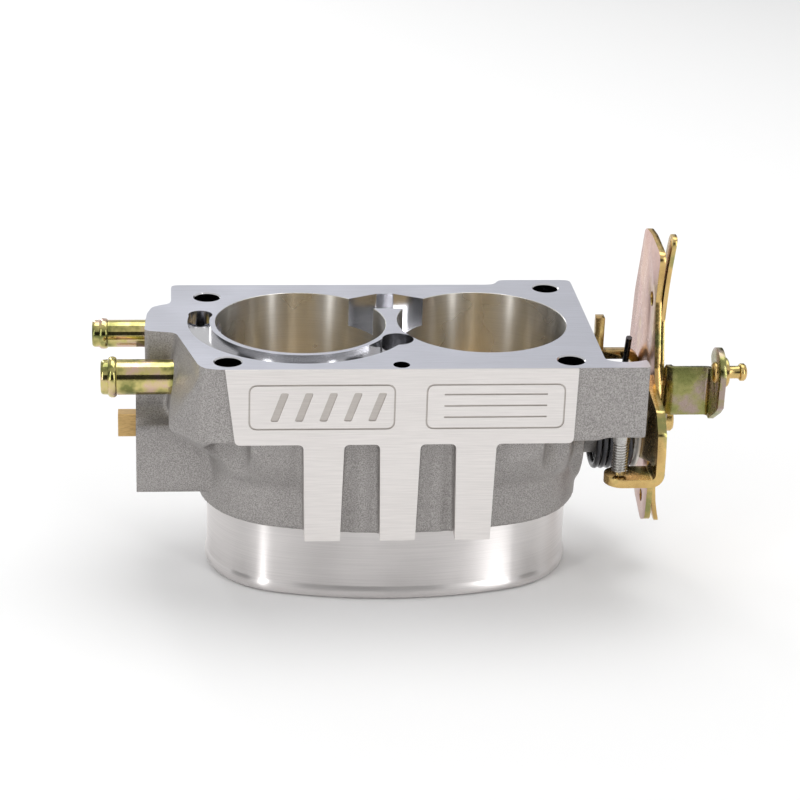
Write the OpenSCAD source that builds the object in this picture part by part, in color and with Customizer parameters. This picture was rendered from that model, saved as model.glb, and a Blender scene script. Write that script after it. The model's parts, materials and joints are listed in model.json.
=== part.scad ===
// Twin-bore throttle body: a cast and machined housing with two bores, an oval
// air-duct collar, a shaft with two butterfly plates, and a cable linkage.
// Origin: centre of the collar's lower face, midway between the bores.
// +Z runs along the bores from the collar to the manifold flange, +X along the
// shaft from the sensor end to the linkage, +Y from the machined front to the rear.

/* [Bores and shaft] */
// Diameter of each bore
bore_d = 58; // [48:1:60]
// Thickness of the web between the bores at its narrowest
web = 4.1; // [3.5:0.1:8]
// Height of the shaft axis above the collar's lower face
shaft_z = 50.6; // [48:0.1:56]
// Diameter of the shaft
shaft_d = 9.5; // [8:0.5:11]
// Angle of the closed plates from square across the bore
closed_angle = 8; // [5:1:15]
// Thickness of the butterfly plates
plate_t = 2; // [1.5:0.1:2.2]
// Gap between a closed plate and its bore
plate_gap = 0.12; // [0.08:0.01:0.3]

/* [Body] */
// Height from the collar's lower face to the manifold flange
body_h = 87.4; // [84:0.1:110]
// Thickness of the wall around the bores in the cast column
bore_wall = 6; // [5:0.5:9]
// Height of the collar below the cast column
collar_h = 26; // [18:1:30]
// Wall of the collar
collar_wall = 2.9; // [2.5:0.1:4.5]
// Height of the bead at the collar's mouth
bead_h = 4.8; // [3:0.1:8]
// How far the bead stands out from the collar
bead_out = 0.8; // [0.5:0.1:2]
// Depth of the open inlet chamber inside the collar
inlet_depth = 22; // [14:1:24]
// How much deeper than a bore the inlet opening is at mid-width, on each side
inlet_belly = 4.6; // [3:0.1:8]
// Step between the inlet opening and the bores, at its two ends
inlet_step = 0.4; // [0.2:0.1:0.8]

/* [Manifold flange] */
// Distance from the bore centres to the front face
front_y = 44.4; // [42:0.1:60]
// Distance from the bore centres to the rear edge
rear_y = 37.2; // [35:0.1:55]
// Distance from the middle of the part to the flange's right edge
right_x = 68; // [65.5:0.5:74]
// Distance from the middle of the part to the flange's left edge
left_x = 75; // [70:0.5:80]
// Thickness of the flange
flange_t = 14; // [10:1:18]
// Height of the thick front wall under the flange face
head_h = 26.4; // [22:0.1:30]
// Radius of the mounting bolt holes
bolt_r = 4.4; // [3.4:0.1:5]
// Spacing of the two front bolt holes
front_bolts = 113; // [110:1:116]
// Distance from the bore centres to the front bolt holes
front_bolt_y = 36.4; // [35:0.1:38]
// Radius of the locating hole in the front edge
locator_r = 2.75; // [2:0.05:3]
// Width of the idle air groove
groove_w = 7.4; // [5:0.1:8]
// Depth of the idle air groove
groove_depth = 2.9; // [3:0.1:6]
// Depth of the two idle air pockets between the bores
pocket_depth = 10; // [6:0.5:14]
// Depth of the decorative engraving on the front pad
engrave = 0.4; // [0.2:0.1:0.8]

/* [Front ribs] */
// Distance between the ribs' centres
rib_pitch = 25.2; // [22:0.1:28]
// Width of a rib at the top
rib_top_w = 13.4; // [10:0.1:15]
// Width of a rib at the foot
rib_foot_w = 11.8; // [8:0.1:13]

/* [Sensor lug] */
// Distance from the middle of the part to the sensor face
sensor_x = 87; // [85:0.5:92]
// Radius of the sensor's locating recess
sensor_r = 12; // [10:0.5:13]
// Depth of the sensor's locating recess
sensor_depth = 3; // [2:0.5:4]
// Distance between the two sensor screw holes
sensor_screws = 29; // [28:0.5:30]
// Radius of the sensor screw holes
sensor_screw_r = 1.65; // [1.3:0.05:2.1]
// Length of the flat tang that drives the sensor, beyond the sensor face
tang_out = 6.3; // [4:0.1:8]
// Thickness of the tang
tang_t = 5.8; // [4:0.1:6]
// Height of the tang
tang_h = 8.3; // [6:0.1:8.5]

/* [Bearings and seals] */
// Outside diameter of the needle bearings
bearing_od = 14; // [13:0.5:16]
// Length of the needle bearings
bearing_l = 12; // [8:0.5:12]
// Outside diameter of the shaft seals
seal_od = 16; // [15:0.5:18]
// Thickness of the shaft seals
seal_t = 3.4; // [2:0.1:3.6]
// Radial clearance between the shaft and its bearings
bearing_gap = 0.03; // [0.02:0.01:0.08]
// Radial gap between the shaft and the drilling through the casting
shaft_gap = 0.3; // [0.2:0.05:0.6]

/* [Hose barbs] */
// Outside radius of the small barb's tube
small_r = 4.7; // [4:0.05:5]
// Outside radius of the large barb's tube
large_r = 5.95; // [5:0.05:6.4]
// How far the small barb stands out of its boss
small_out = 17.8; // [14:0.5:24]
// How far the large barb stands out of its boss
large_out = 23.4; // [18:0.5:28]
// How far each barb is pressed into the casting
barb_seat = 8; // [5:0.5:9]
// Wall of the barb tubes
barb_wall = 1.2; // [0.8:0.1:1.6]
// How far the small barb's bead stands out from its tube
small_bead = 0.6; // [0.3:0.05:1]
// How far the large barb's bead stands out from its tube
large_bead = 0.95; // [0.3:0.05:1.2]

/* [Linkage] */
// Distance from the middle of the part to the inner face of the stop lever
lever_x = 86.4; // [84:0.2:92]
// Thickness of the stop lever
lever_t = 3; // [2.5:0.1:3.5]
// Thickness of the cable quadrant
quad_t = 2; // [1.5:0.1:2.5]
// Height of the quadrant's top above the shaft
quad_h = 67.2; // [55:0.1:72]
// Thickness of the cable guide
guide_t = 1.5; // [1:0.1:2]
// Thickness of the cruise arm
arm_t = 2; // [1.5:0.1:3]
// Length of the cruise arm, outwards from the linkage
arm_l = 14.5; // [12:0.1:24]
// Distance of the cruise stud in front of the shaft
stud_y = 27.4; // [24:0.1:34]
// Height of the cruise stud above the shaft
stud_z = 28.6; // [24:0.1:34]
// Radius of the cruise stud's neck
stud_r = 2.15; // [1.8:0.05:2.6]
// Width of the flats on the shaft's linkage end
flats_w = 6.6; // [6:0.1:7.4]
// Gap between the flats and the holes in the levers
flats_gap = 0.08; // [0.05:0.01:0.2]

/* [Idle stop] */
// Distance from the middle of the part to the stop screw
screw_x = 74.6; // [72:0.1:76]
// Radius of the stop screw
screw_r = 3; // [2:0.1:3]
// Distance of the stop screw in front of the shaft
screw_y = 39.2; // [38.2:0.1:40]
// Gap between the stop screw's tip and the lever's foot
stop_gap = 0.3; // [0.2:0.05:0.6]
// Height of the foot's upper face below the shaft
foot_drop = 4; // [2:0.1:8]
// Radial clearance of the stop screw in its thread
thread_gap = 0.05; // [0.03:0.01:0.1]

/* [Return spring] */
// Diameter of the spring wire
wire_d = 2.2; // [1.6:0.1:2.6]
// Mean radius of the coils
coil_r = 16; // [15.2:0.1:17]
// Number of turns in the coil
coil_turns = 5.75; // [4.75:1:5.75]

/* [Hidden] */
$fn = 96;
e = 0.01;

// Bores and the oval that surrounds them
bore_r = bore_d / 2;
bore_x = bore_r + web / 2;
column_r = bore_r + bore_wall;
column_b = bore_r + inlet_belly + bore_wall;
collar_r = bore_r + collar_wall;
collar_b = bore_r + inlet_belly + collar_wall;

// Levels of the casting
flange_z = body_h - flange_t;
head_z = body_h - head_h;
skirt_z = head_z - 22;

// Front pad and the block that holds the stop screw
pad_out = 1;
cast_y = front_y - pad_out;
pad_left_top = 57.6;
pad_left_foot = 54.3;
pad_right = 58;
groove_start = 168;
groove_end = 328;
front_pocket_x = 0.8;
front_pocket_y = 16.4;
front_pocket_r = 5.3;
block_x = 82;
block_rear = 36.4;
block_foot_rear = 34;
block_step_z = body_h - 7.4;
block_z = head_z + 1;

// Rear bolt holes, [x, y]
rear_left_bolt = [-62.5, 24.8];
rear_right_bolt = [57.9, 33.4];
boss_wall = 4;

// Sensor lug and barb bosses on the left
lug_front = 17;
lug_upper_front = 9;
lug_rear = 15;
lug_top = shaft_z + 17.9;
lug_foot = shaft_z - 19.1;
bump_x = 84;
bump_front = 7.8;
bump_rear = 17.4;
bump_front_z = body_h - 7.8;
small_y = 8;
small_z = body_h - 7;
large_y = -16;
large_z = body_h - 13.4;
barb_face_x = 75;

// Nose that carries the right bearing
nose_r = 11.5;
bushing_t = 1;
nose_x = lever_x - 6.6;
right_bearing_x = nose_x - seal_t - 0.4 - bearing_l;
left_recess_x = sensor_x - sensor_depth;
left_bearing_x = left_recess_x - seal_t - 0.4 - bearing_l;
press = 0.01;

// Post above the spring's fixed leg, which leaves the coil at leg_a and is
// touched post_l along it
leg_a = 110;
post_r = 2;
post_l = 22;
post_off = coil_r + wire_d / 2 + post_r + 0.1;
post_y = post_off * cos(leg_a) + post_l * sin(leg_a);
post_z = shaft_z + post_off * sin(leg_a) - post_l * cos(leg_a);

// Stack of the linkage, outwards from the stop lever
quad_x = lever_x + lever_t;
guide_x = quad_x + quad_t;
arm_x = guide_x + guide_t;
washer_x = arm_x + arm_t;
washer_t = 1;
head_x = washer_x + washer_t;
head_t = 4;
shaft_end = washer_x - 0.4;
screw_shank_r = 2.5;
screw_shank_l = 15;

// Closed height of the foot and the stop screw's tip
foot_z = shaft_z - foot_drop;
tip_z = foot_z + stop_gap;
screw_top = body_h - 11;

// Four-arc oval: end arcs of radius r about the bore centres, joined by
// tangent arcs that reach b in front and behind and stop just short of the
// tangent points.
module oval(r, b) {
    c = bore_x;
    big = (c * c + b * b - r * r) / (2 * (b - r));
    edge = c + r * c / (big - r) - 2;
    for (s = [-1, 1]) translate([s * c, 0]) circle(r, $fn = 128);
    intersection() {
        translate([0, big - b]) circle(big, $fn = 256);
        translate([0, b - big]) circle(big, $fn = 256);
        translate([-edge, -b]) square([2 * edge, 2 * b]);
    }
}

// Rod along X from x0 to x1 at [y, z]
module rod_x(r, x0, x1, y = 0, z = shaft_z) {
    translate([x0, y, z]) rotate([0, 90, 0]) cylinder(r = r, h = x1 - x0);
}

// Plate in the plane across X: draws its children, given as [y, z] from the
// shaft, from x0 and t thick
module plate_x(x0, t) {
    translate([x0, 0, shaft_z]) rotate([90, 0, 90]) linear_extrude(t) children();
}

// Outline of the machined manifold face
module flange_outline() {
    offset(r = 2) offset(r = -2) offset(r = -3) offset(r = 3)
    polygon([
        [-left_x, rear_y], [-left_x, bump_rear], [-bump_x + 6, bump_rear],
        [-bump_x + 2.4, bump_rear - 2.4], [-bump_x + 0.8, bump_rear - 9],
        [-bump_x, -bump_front], [-left_x + 1.7, -bump_front - 2],
        [-66, -cast_y + 3.4], [-61, -cast_y], [right_x, -cast_y], [right_x, rear_y + 4.8],
        [42, rear_y + 4.8], [40, rear_y]]);
}

// Cast head: flange, thick front wall and stop-screw block
module cast_head() {
    translate([0, 0, flange_z]) linear_extrude(flange_t) flange_outline();
    translate([0, 0, head_z]) linear_extrude(head_h - e) intersection() {
        flange_outline();
        translate([-66, -cast_y]) square([66 + right_x, cast_y - 28]);
    }
    difference() {
        translate([right_x - 10, -cast_y, block_z])
            cube([block_x - right_x + 10, cast_y - block_foot_rear, body_h - block_z]);
        translate([right_x, -block_rear, block_step_z])
            cube([block_x, block_rear, body_h]);
        translate([(right_x + block_x) / 2, -block_rear + 9.5, block_step_z])
            cylinder(r = 11.5, h = body_h);
    }
}

// Oval column around the bores, and the tapering skirt that carries the head
module cast_column() {
    translate([0, 0, collar_h]) linear_extrude(flange_z - collar_h + 1)
        oval(column_r, column_b);
    hull() {
        translate([0, 0, head_z]) linear_extrude(1)
            square([2 * 58, 2 * (cast_y - 4)], center = true);
        translate([0, 0, skirt_z]) linear_extrude(1) oval(column_r - 1, column_b - 1);
    }
    for (p = [rear_left_bolt, rear_right_bolt])
        translate([p[0], p[1], flange_z - 8]) cylinder(r = bolt_r + boss_wall, h = 10);
}

// Machined front: pad, three ribs
module front_machined() {
    rotate([90, 0, 0]) translate([0, 0, cast_y - 6]) linear_extrude(6 + pad_out)
        polygon([[-pad_left_top, body_h], [-pad_left_foot, head_z], [pad_right - 0.5, head_z],
                 [pad_right, body_h]]);
    for (i = [-1, 0, 1])
        rotate([90, 0, 0]) translate([i * rib_pitch, 0, bore_r]) linear_extrude(front_y - bore_r)
            polygon([[-rib_top_w / 2, head_z + 1], [-rib_foot_w / 2, collar_h],
                     [rib_foot_w / 2, collar_h], [rib_top_w / 2, head_z + 1]]);
}

// Engraved border lines on the front pad
module engraving() {
    translate([0, -front_y + engrave, 0]) rotate([90, 0, 0]) linear_extrude(2) {
        for (f = [[-50, 48, 16], [8, 46, 16]]) translate([f[0], head_z + 5.5])
            difference() {
                offset(r = 2) offset(delta = -2) square([f[1], f[2]]);
                offset(r = 1.5) offset(delta = -2) square([f[1], f[2]]);
            }
        for (i = [0 : 4]) translate([-43 + 8 * i, head_z + 9]) square([0.6, 9]);
        for (i = [0 : 2]) translate([14, head_z + 9.5 + 4 * i]) square([34, 0.6]);
    }
}

// Lug at the sensor end with the two barb bosses
module sensor_lug() {
    translate([-sensor_x, 0, 0]) rotate([90, 0, 90]) linear_extrude(sensor_x - bore_x - bore_r + 4)
        difference() {
            union() {
                translate([-lug_upper_front, lug_foot])
                    square([lug_upper_front + lug_rear, lug_top - lug_foot]);
                translate([-lug_front, lug_foot])
                    square([lug_front, shaft_z + 14 - lug_foot]);
            }
            translate([-lug_front, shaft_z + 14]) circle(lug_front - lug_upper_front);
        }
    translate([0, 0, lug_top - 2]) linear_extrude(body_h - lug_top + 2 - e) intersection() {
        flange_outline();
        translate([-bump_x - 1, -bump_front + 2]) square([bump_x - 58, bump_front + bump_rear]);
    }
    translate([0, 0, bump_front_z]) linear_extrude(body_h - bump_front_z - e) intersection() {
        flange_outline();
        translate([-bump_x - 1, -bump_front - 2]) square([bump_x - 58, 8]);
    }
    hull() {
        translate([0, 0, body_h - 1]) linear_extrude(1 - e)
            polygon([[-left_x + 1.8, -bump_front - 2], [-64, -cast_y + 1], [-56, -cast_y + 1],
                     [-56, -8], [-left_x + 1.8, -8]]);
        translate([0, 0, head_z]) linear_extrude(1)
            polygon([[-barb_face_x - 1, -31], [-66, -cast_y + 1], [-56, -cast_y + 1],
                     [-56, -8], [-barb_face_x - 1, -8]]);
        translate([0, 0, head_z - 14]) linear_extrude(1)
            polygon([[-60, -24], [-52, -30], [-52, -8], [-60, -8]]);
    }
}

// Nose around the right bearing, with a post that holds the spring's fixed leg
module bearing_nose() {
    rod_x(nose_r, bore_x + bore_r - 2, nose_x);
    rod_x(20, bore_x + bore_r - 4, column_r + bore_x);
    rod_x(post_r, right_x - 6, spring_x0 + 0.8, post_y, post_z);
}

// Idle air passages milled into the manifold face
module idle_passages() {
    path_r = bore_r + 2 + groove_w / 2;
    translate([-bore_x, 0, body_h - groove_depth]) rotate([0, 0, groove_start]) {
        rotate_extrude(angle = groove_end - groove_start)
            translate([path_r - groove_w / 2, 0]) square([groove_w, groove_depth + 1]);
        translate([path_r, 0, -24]) cylinder(r = groove_w / 2 + 0.4, h = 24 + groove_depth + 1);
    }
    translate([0, 0, body_h - pocket_depth]) linear_extrude(pocket_depth + 1) {
        polygon([[-14.5, 13], [-14.5, 22], [-3, 27.8], [3, 27.8], [14.5, 22], [14.5, 13]]);
        translate([front_pocket_x, -front_pocket_y]) circle(front_pocket_r);
    }
}

// Holes for the mounting bolts, with small chamfers at the manifold face
module bolt_holes() {
    for (p = [[-front_bolts / 2, -front_bolt_y], [front_bolts / 2, -front_bolt_y],
              rear_left_bolt, rear_right_bolt])
        translate([p[0], p[1], 0]) {
            translate([0, 0, skirt_z - 4]) cylinder(r = bolt_r, h = body_h);
            translate([0, 0, body_h - 0.4]) cylinder(r1 = bolt_r, r2 = bolt_r + 0.5, h = 0.5);
        }
    for (s = [-1, 1]) translate([s * front_bolts / 2, -front_bolt_y, skirt_z - 12])
        cylinder(r = bolt_r + 3, h = head_z - skirt_z + 12);
    translate([0, -cast_y + 3.6, body_h - 12]) cylinder(r = locator_r, h = 20);
}

// Line of the shaft: bearing and seal pockets, and the sensor's recess
module shaft_line() {
    rod_x(shaft_d / 2 + shaft_gap, -sensor_x - 1, nose_x + 1);
    rod_x(bearing_od / 2 + press, -left_recess_x - 1, -left_bearing_x);
    rod_x(seal_od / 2 + press, -left_recess_x - 1, -left_recess_x + seal_t + 0.4);
    rod_x(sensor_r, -sensor_x - 1, -left_recess_x);
    rod_x(bearing_od / 2 + press, right_bearing_x, nose_x + 1);
    rod_x(seal_od / 2 + press, nose_x - seal_t - 0.4, nose_x + 1);
    for (s = [-1, 1])
        rod_x(sensor_screw_r, -sensor_x - 1, -sensor_x + 10, 0, shaft_z + s * sensor_screws / 2);
}

// Seats for the barbs and the passages behind them
module barb_seats() {
    rod_x(small_r + press, -bump_x - 4, -bump_x + barb_seat, small_y, small_z);
    rod_x(small_r - barb_wall, -bump_x, -bore_x - bore_r + 3, small_y, small_z);
    rod_x(large_r + press, -barb_face_x - 4, -barb_face_x + barb_seat, large_y, large_z);
    rod_x(large_r - barb_wall, -barb_face_x, -bore_x - 20, large_y, large_z);
}

module housing() {
    color("silver") difference() {
        union() {
            cast_head();
            cast_column();
            front_machined();
            sensor_lug();
            bearing_nose();
            linear_extrude(collar_h + 1) oval(collar_r, collar_b);
            translate([0, 0, 0.8]) linear_extrude(bead_h - 1.6)
                oval(collar_r + bead_out, collar_b + bead_out);
            linear_extrude(bead_h) oval(collar_r + bead_out / 2, collar_b + bead_out / 2);
        }
        for (s = [-1, 1]) translate([s * bore_x, 0, -1]) cylinder(r = bore_r, h = body_h + 2, $fn = 128);
        translate([0, 0, -1]) linear_extrude(inlet_depth + 1)
            oval(bore_r + inlet_step, bore_r + inlet_belly);
        idle_passages();
        bolt_holes();
        shaft_line();
        barb_seats();
        engraving();
        translate([screw_x, -screw_y, block_z - 1]) cylinder(r = screw_r + thread_gap,
                                                            h = screw_top + 3 - block_z);
    }
}

// Hose barb along -X with its root at x = -face, a rounded bead at the mouth
module hose_barb(r, bead, out, face, y, z) {
    translate([-face + barb_seat, y, z]) rotate([0, -90, 0]) rotate_extrude() {
        l = barb_seat + out;
        polygon([[r - barb_wall, 0], [r, 0], [r, l - 5.4], [r + bead, l - 4.6],
                 [r + bead, l - 3], [r, l - 1], [r - 0.8, l], [r - barb_wall, l]]);
    }
}
module small_hose_barb() {
    color("goldenrod") hose_barb(small_r, small_bead, small_out, bump_x, small_y, small_z);
}
module large_hose_barb() {
    color("goldenrod") hose_barb(large_r, large_bead, large_out, barb_face_x, large_y, large_z);
}

// Ring along X
module ring_x(x0, x1, r_in, r_out) {
    difference() {
        rod_x(r_out, x0, x1);
        rod_x(r_in, x0 - 1, x1 + 1);
    }
}
module left_shaft_bearing() {
    color("gray") ring_x(-left_bearing_x - bearing_l, -left_bearing_x,
                         shaft_d / 2 + bearing_gap, bearing_od / 2);
}
module right_shaft_bearing() {
    color("gray") ring_x(right_bearing_x, right_bearing_x + bearing_l,
                         shaft_d / 2 + bearing_gap, bearing_od / 2);
}
module left_shaft_seal() {
    color("dimgray") ring_x(-left_recess_x, -left_recess_x + seal_t,
                            shaft_d / 2 + bearing_gap, seal_od / 2);
}
module right_shaft_seal() {
    color("dimgray") ring_x(nose_x - seal_t, nose_x, shaft_d / 2 + bearing_gap, seal_od / 2);
}

module idle_stop_screw() {
    color("lightgray") translate([screw_x, -screw_y, tip_z]) {
        cylinder(r1 = screw_r - 0.8, r2 = screw_r, h = 0.8);
        translate([0, 0, 0.8]) cylinder(r = screw_r, h = screw_top - tip_z - 0.8);
    }
}

// Places its children on the closed plates' plane: X along the shaft, Z square
// to the plates
module plate_frame(x) {
    translate([x, 0, shaft_z]) rotate([closed_angle, 0, 0]) children();
}
plate_slot = plate_t + 0.1;
plate_screw_r = 1.75;
plate_screw_dx = 13;
screw_seat = shaft_d / 2 - 1.6;

module throttle_shaft() {
    color("peru") difference() {
        rod_x(shaft_d / 2, -sensor_x - tang_out, shaft_end);
        rod_x(screw_shank_r + press, head_x - screw_shank_l - 1, shaft_end + 1);
        for (s = [-1, 1]) {
            plate_frame(s * bore_x) cube([bore_d + 0.4, shaft_d + 2, plate_slot], center = true);
            plate_frame(s * bore_x) for (d = [-1, 1]) translate([d * plate_screw_dx, 0, 0]) {
                translate([0, 0, -shaft_d]) cylinder(r = plate_screw_r + 0.05, h = 2 * shaft_d);
                translate([0, 0, screw_seat]) cylinder(r = 3.4, h = shaft_d);
            }
        }
        for (s = [-1, 1]) {
            translate([-sensor_x - tang_out - 1, s > 0 ? tang_t / 2 : -shaft_d - tang_t / 2,
                       shaft_z - shaft_d])
                cube([tang_out + 1, shaft_d, 2 * shaft_d]);
            translate([-sensor_x - tang_out - 1, -shaft_d,
                       s > 0 ? shaft_z + tang_h / 2 : shaft_z - shaft_d - tang_h / 2])
                cube([tang_out + 1, 2 * shaft_d, shaft_d]);
            translate([lever_x, s > 0 ? flats_w / 2 : -shaft_d - flats_w / 2, shaft_z - shaft_d])
                cube([shaft_end, shaft_d, 2 * shaft_d]);
        }
        ring_x(-left_recess_x - 1.45, -left_recess_x - 0.35, shaft_d / 2 - 0.8, shaft_d);
    }
}

// Butterfly plate: a slab cut by the bore, so its edge follows the wall when closed
module throttle_plate(x) {
    difference() {
        intersection() {
            plate_frame(x) cube([2 * bore_d, 2 * bore_d, plate_t], center = true);
            translate([x, 0, 0]) cylinder(r = bore_r - plate_gap, h = body_h, $fn = 128);
        }
        plate_frame(x) for (d = [-1, 1]) translate([d * plate_screw_dx, 0, -plate_t])
            cylinder(r = plate_screw_r + 0.05, h = 2 * plate_t);
    }
}
module left_throttle_plate() { color("darkgoldenrod") throttle_plate(-bore_x); }
module right_throttle_plate() { color("darkgoldenrod") throttle_plate(bore_x); }

module plate_screws(x) {
    plate_frame(x) for (d = [-1, 1]) translate([d * plate_screw_dx, 0, 0]) difference() {
        union() {
            translate([0, 0, -shaft_d / 2 + 0.4]) cylinder(r = plate_screw_r, h = shaft_d / 2 + screw_seat - 0.4 + e);
            translate([0, 0, screw_seat]) cylinder(r = 3.2, h = 1.8);
        }
        translate([0, 0, screw_seat + 1.8]) cube([0.9, 8, 1.6], center = true);
    }
}
module left_plate_screws() { color("lightgray") plate_screws(-bore_x); }
module right_plate_screws() { color("lightgray") plate_screws(bore_x); }

// Open ring that sits in the shaft's groove against the floor of the sensor recess
module shaft_retaining_ring() {
    color("dimgray") difference() {
        ring_x(-left_recess_x - 1.4, -left_recess_x - 0.4, shaft_d / 2 - 0.75, shaft_d / 2 + 3);
        translate([-left_recess_x - 3, -2.5, shaft_z - 12]) cube([4, 5, 9.5]);
    }
}

// Flanged bushing between the nose and the stop lever that carries the spring
module spring_bushing() {
    color("ivory") {
        ring_x(lever_x - bushing_t, lever_x - press, shaft_d / 2 + 0.05, coil_r + 0.6);
        ring_x(nose_x - 4, lever_x - bushing_t + e, nose_r + 0.5, coil_r - wire_d / 2 - 0.4);
    }
}

// Wire swept along a list of centre points
module sweep(points, r, sides) {
    n = len(points);
    function tangent(i) = let (v = points[min(i + 1, n - 1)] - points[max(i - 1, 0)]) v / norm(v);
    function side(i) = let (t = tangent(i), a = abs(t[0]) < 0.9 ? [1, 0, 0] : [0, 1, 0],
                            v = cross(t, a)) v / norm(v);
    rings = [for (i = [0 : n - 1]) let (t = tangent(i), u = side(i), w = cross(t, u))
             for (k = [0 : sides - 1]) points[i] + r * (cos(360 * k / sides) * u + sin(360 * k / sides) * w)];
    polyhedron(points = rings, convexity = 10, faces = concat(
        [[for (k = [0 : sides - 1]) k]],
        [[for (k = [sides - 1 : -1 : 0]) (n - 1) * sides + k]],
        [for (i = [0 : n - 2]) for (k = [0 : sides - 1])
         [i * sides + k, (i + 1) * sides + k, (i + 1) * sides + (k + 1) % sides, i * sides + (k + 1) % sides]]));
}

// Torsion spring: coil about the shaft, a fixed leg behind the post on the
// housing, and a moving leg in front of the stop lever's strap
spring_x0 = right_x + wire_d / 2 + 2.2;
spring_x1 = lever_x - bushing_t - wire_d / 2 - 0.2;
spring_end = 20;
spring_start = spring_end - 360 * coil_turns;
spring_steps = 24 * coil_turns;
function coil_point(k) = let (f = k / spring_steps, a = spring_start + f * (spring_end - spring_start))
    [spring_x0 + f * (spring_x1 - spring_x0), coil_r * cos(a), shaft_z + coil_r * sin(a)];
module return_spring() {
    first = coil_point(0);
    last = coil_point(spring_steps);
    color("dimgray") sweep(concat(
        [first + 27 * [0, cos(spring_start - 90), sin(spring_start - 90)]],
        [for (k = [0 : spring_steps]) coil_point(k)],
        [last + 24 * [0, cos(spring_end + 90), sin(spring_end + 90)]]), wire_d / 2, 8);
}

// Double-D hole that keys a lever to the shaft
module keyhole() {
    intersection() {
        circle(shaft_d / 2 + flats_gap);
        square([flats_w + 2 * flats_gap, 3 * shaft_d], center = true);
    }
}

// Stop lever: web with a foot under the stop screw and a strap behind for the spring
foot_end = 69.9;
foot_front = 42.8;
foot_w = 11.6;
strap_end = 73.2;
strap_y = 11.8;
strap_w = 4;
strap_top = 21;
finger_top = 33.4;
module stop_lever() {
    color("goldenrod") {
        plate_x(lever_x, lever_t) difference() {
            union() {
                offset(r = -3) offset(r = 3) {
                    circle(13);
                    polygon([[-10, 21], [-22, 20], [-36, 18], [-foot_front + 1, 12], [-foot_front, 5],
                             [-foot_front, -foot_drop - lever_t],
                             [-foot_front + foot_w, -foot_drop - lever_t],
                             [-24, -5], [-5, -12], [12, 3], [strap_y + strap_w, strap_top - lever_t - 1],
                             [strap_y + strap_w, strap_top], [strap_y, strap_top], [2, 14]]);
                }
            }
            keyhole();
        }
        translate([0, 0, foot_z - lever_t]) linear_extrude(lever_t) {
            translate([foot_end + foot_w / 2, -foot_front])
                square([lever_x - foot_end - foot_w / 2 + e, foot_w]);
            translate([foot_end + foot_w / 2, -foot_front + foot_w / 2]) circle(foot_w / 2);
        }
        translate([strap_end + e, strap_y, shaft_z + strap_top - lever_t])
            cube([lever_x - strap_end, strap_w, lever_t]);
        translate([strap_end, strap_y, shaft_z + strap_top - lever_t])
            cube([lever_t, strap_w, finger_top - strap_top + lever_t]);
    }
}

module cable_quadrant() {
    color("goldenrod") plate_x(quad_x, quad_t) difference() {
        offset(r = 3) offset(r = -3) polygon([
            [-11, quad_h - 2.6], [-8, quad_h - 20], [-14, quad_h - 42], [-19, 17], [-16, 5],
            [-12, -6], [-17, -18], [-16, -31], [-9, -34.5], [4, -30], [16, -8],
            [28, 8], [28, 18], [23, 40], [17, 56], [13, quad_h]]);
        keyhole();
        translate([-1.5, 45.5]) circle(2.6);
        translate([-7, -26]) circle(2.2);
    }
}

// Cable guide: a narrow plate outside the quadrant with its two ends flared outwards
guide_flare = 2.7;
module guide_profile() {
    circle(10);
    polygon([[-15, 20], [-8.5, 40], [1, 40], [4, 20], [8, 6], [6, -8], [-2, -22],
             [-14, -22], [-13, -10], [-9, 4]]);
}
module flared_end(z0, z1) {
    hull() {
        translate([guide_x, 0, shaft_z]) rotate([90, 0, 90]) linear_extrude(guide_t)
            translate([z0 > 0 ? -8.5 : -14, z0]) square([z0 > 0 ? 9.5 : 12, 0.6]);
        translate([guide_x + guide_flare, 0, shaft_z]) rotate([90, 0, 90]) linear_extrude(guide_t)
            translate([z0 > 0 ? -8 : -13, z1]) square([z0 > 0 ? 7 : 9, 0.6]);
    }
}
module cable_guide() {
    color("goldenrod") {
        difference() {
            plate_x(guide_x, guide_t) guide_profile();
            plate_x(guide_x - 1, guide_t + 2) keyhole();
        }
        flared_end(39.4, quad_h + 1.6);
        flared_end(-22, -35);
    }
}

// Cruise arm: hub plate, an arm outwards, and an ear turned forwards for the stud
arm_front = 19;
arm_z0 = 9.6;
arm_z1 = 26.8;
ear_x = arm_x + arm_l;
ear_r = 8.4;
stud_neck = 4;
stud_head_r = 3;
stud_head_t = 2.5;
module arm_outline() {
    hull() {
        circle(11);
        translate([-arm_front, arm_z0]) square([4, arm_z1 - arm_z0]);
    }
}
module cruise_arm() {
    color("olive") {
        plate_x(arm_x, arm_t) difference() {
            arm_outline();
            keyhole();
        }
        translate([arm_x, -arm_front, shaft_z + arm_z0]) cube([arm_l + arm_t, arm_t, arm_z1 - arm_z0]);
        plate_x(ear_x, arm_t) difference() {
            hull() {
                translate([-stud_y, stud_z]) circle(ear_r);
                translate([-arm_front, arm_z0]) square([arm_t, arm_z1 - arm_z0]);
                translate([-stud_y - ear_r + 4, arm_z0 + 10]) circle(4);
            }
            translate([-stud_y, stud_z]) circle(2.5 + press);
        }
    }
}

module cruise_stud() {
    color("goldenrod") translate([ear_x, -stud_y, shaft_z + stud_z]) rotate([0, 90, 0]) {
        translate([0, 0, -1.2]) cylinder(r = 3.6, h = 1.2);
        translate([0, 0, -e]) cylinder(r = 2.5, h = arm_t + 2 * e);
        translate([0, 0, arm_t]) cylinder(r = 5, h = 2);
        translate([0, 0, arm_t + 2 - e]) cylinder(r = stud_r, h = stud_neck + 2 * e);
        translate([0, 0, arm_t + 2 + stud_neck]) cylinder(r = stud_head_r, h = stud_head_t);
    }
}

module lever_washer() {
    color("lightgray") ring_x(washer_x, head_x, screw_shank_r + 0.2, 6);
}

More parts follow.
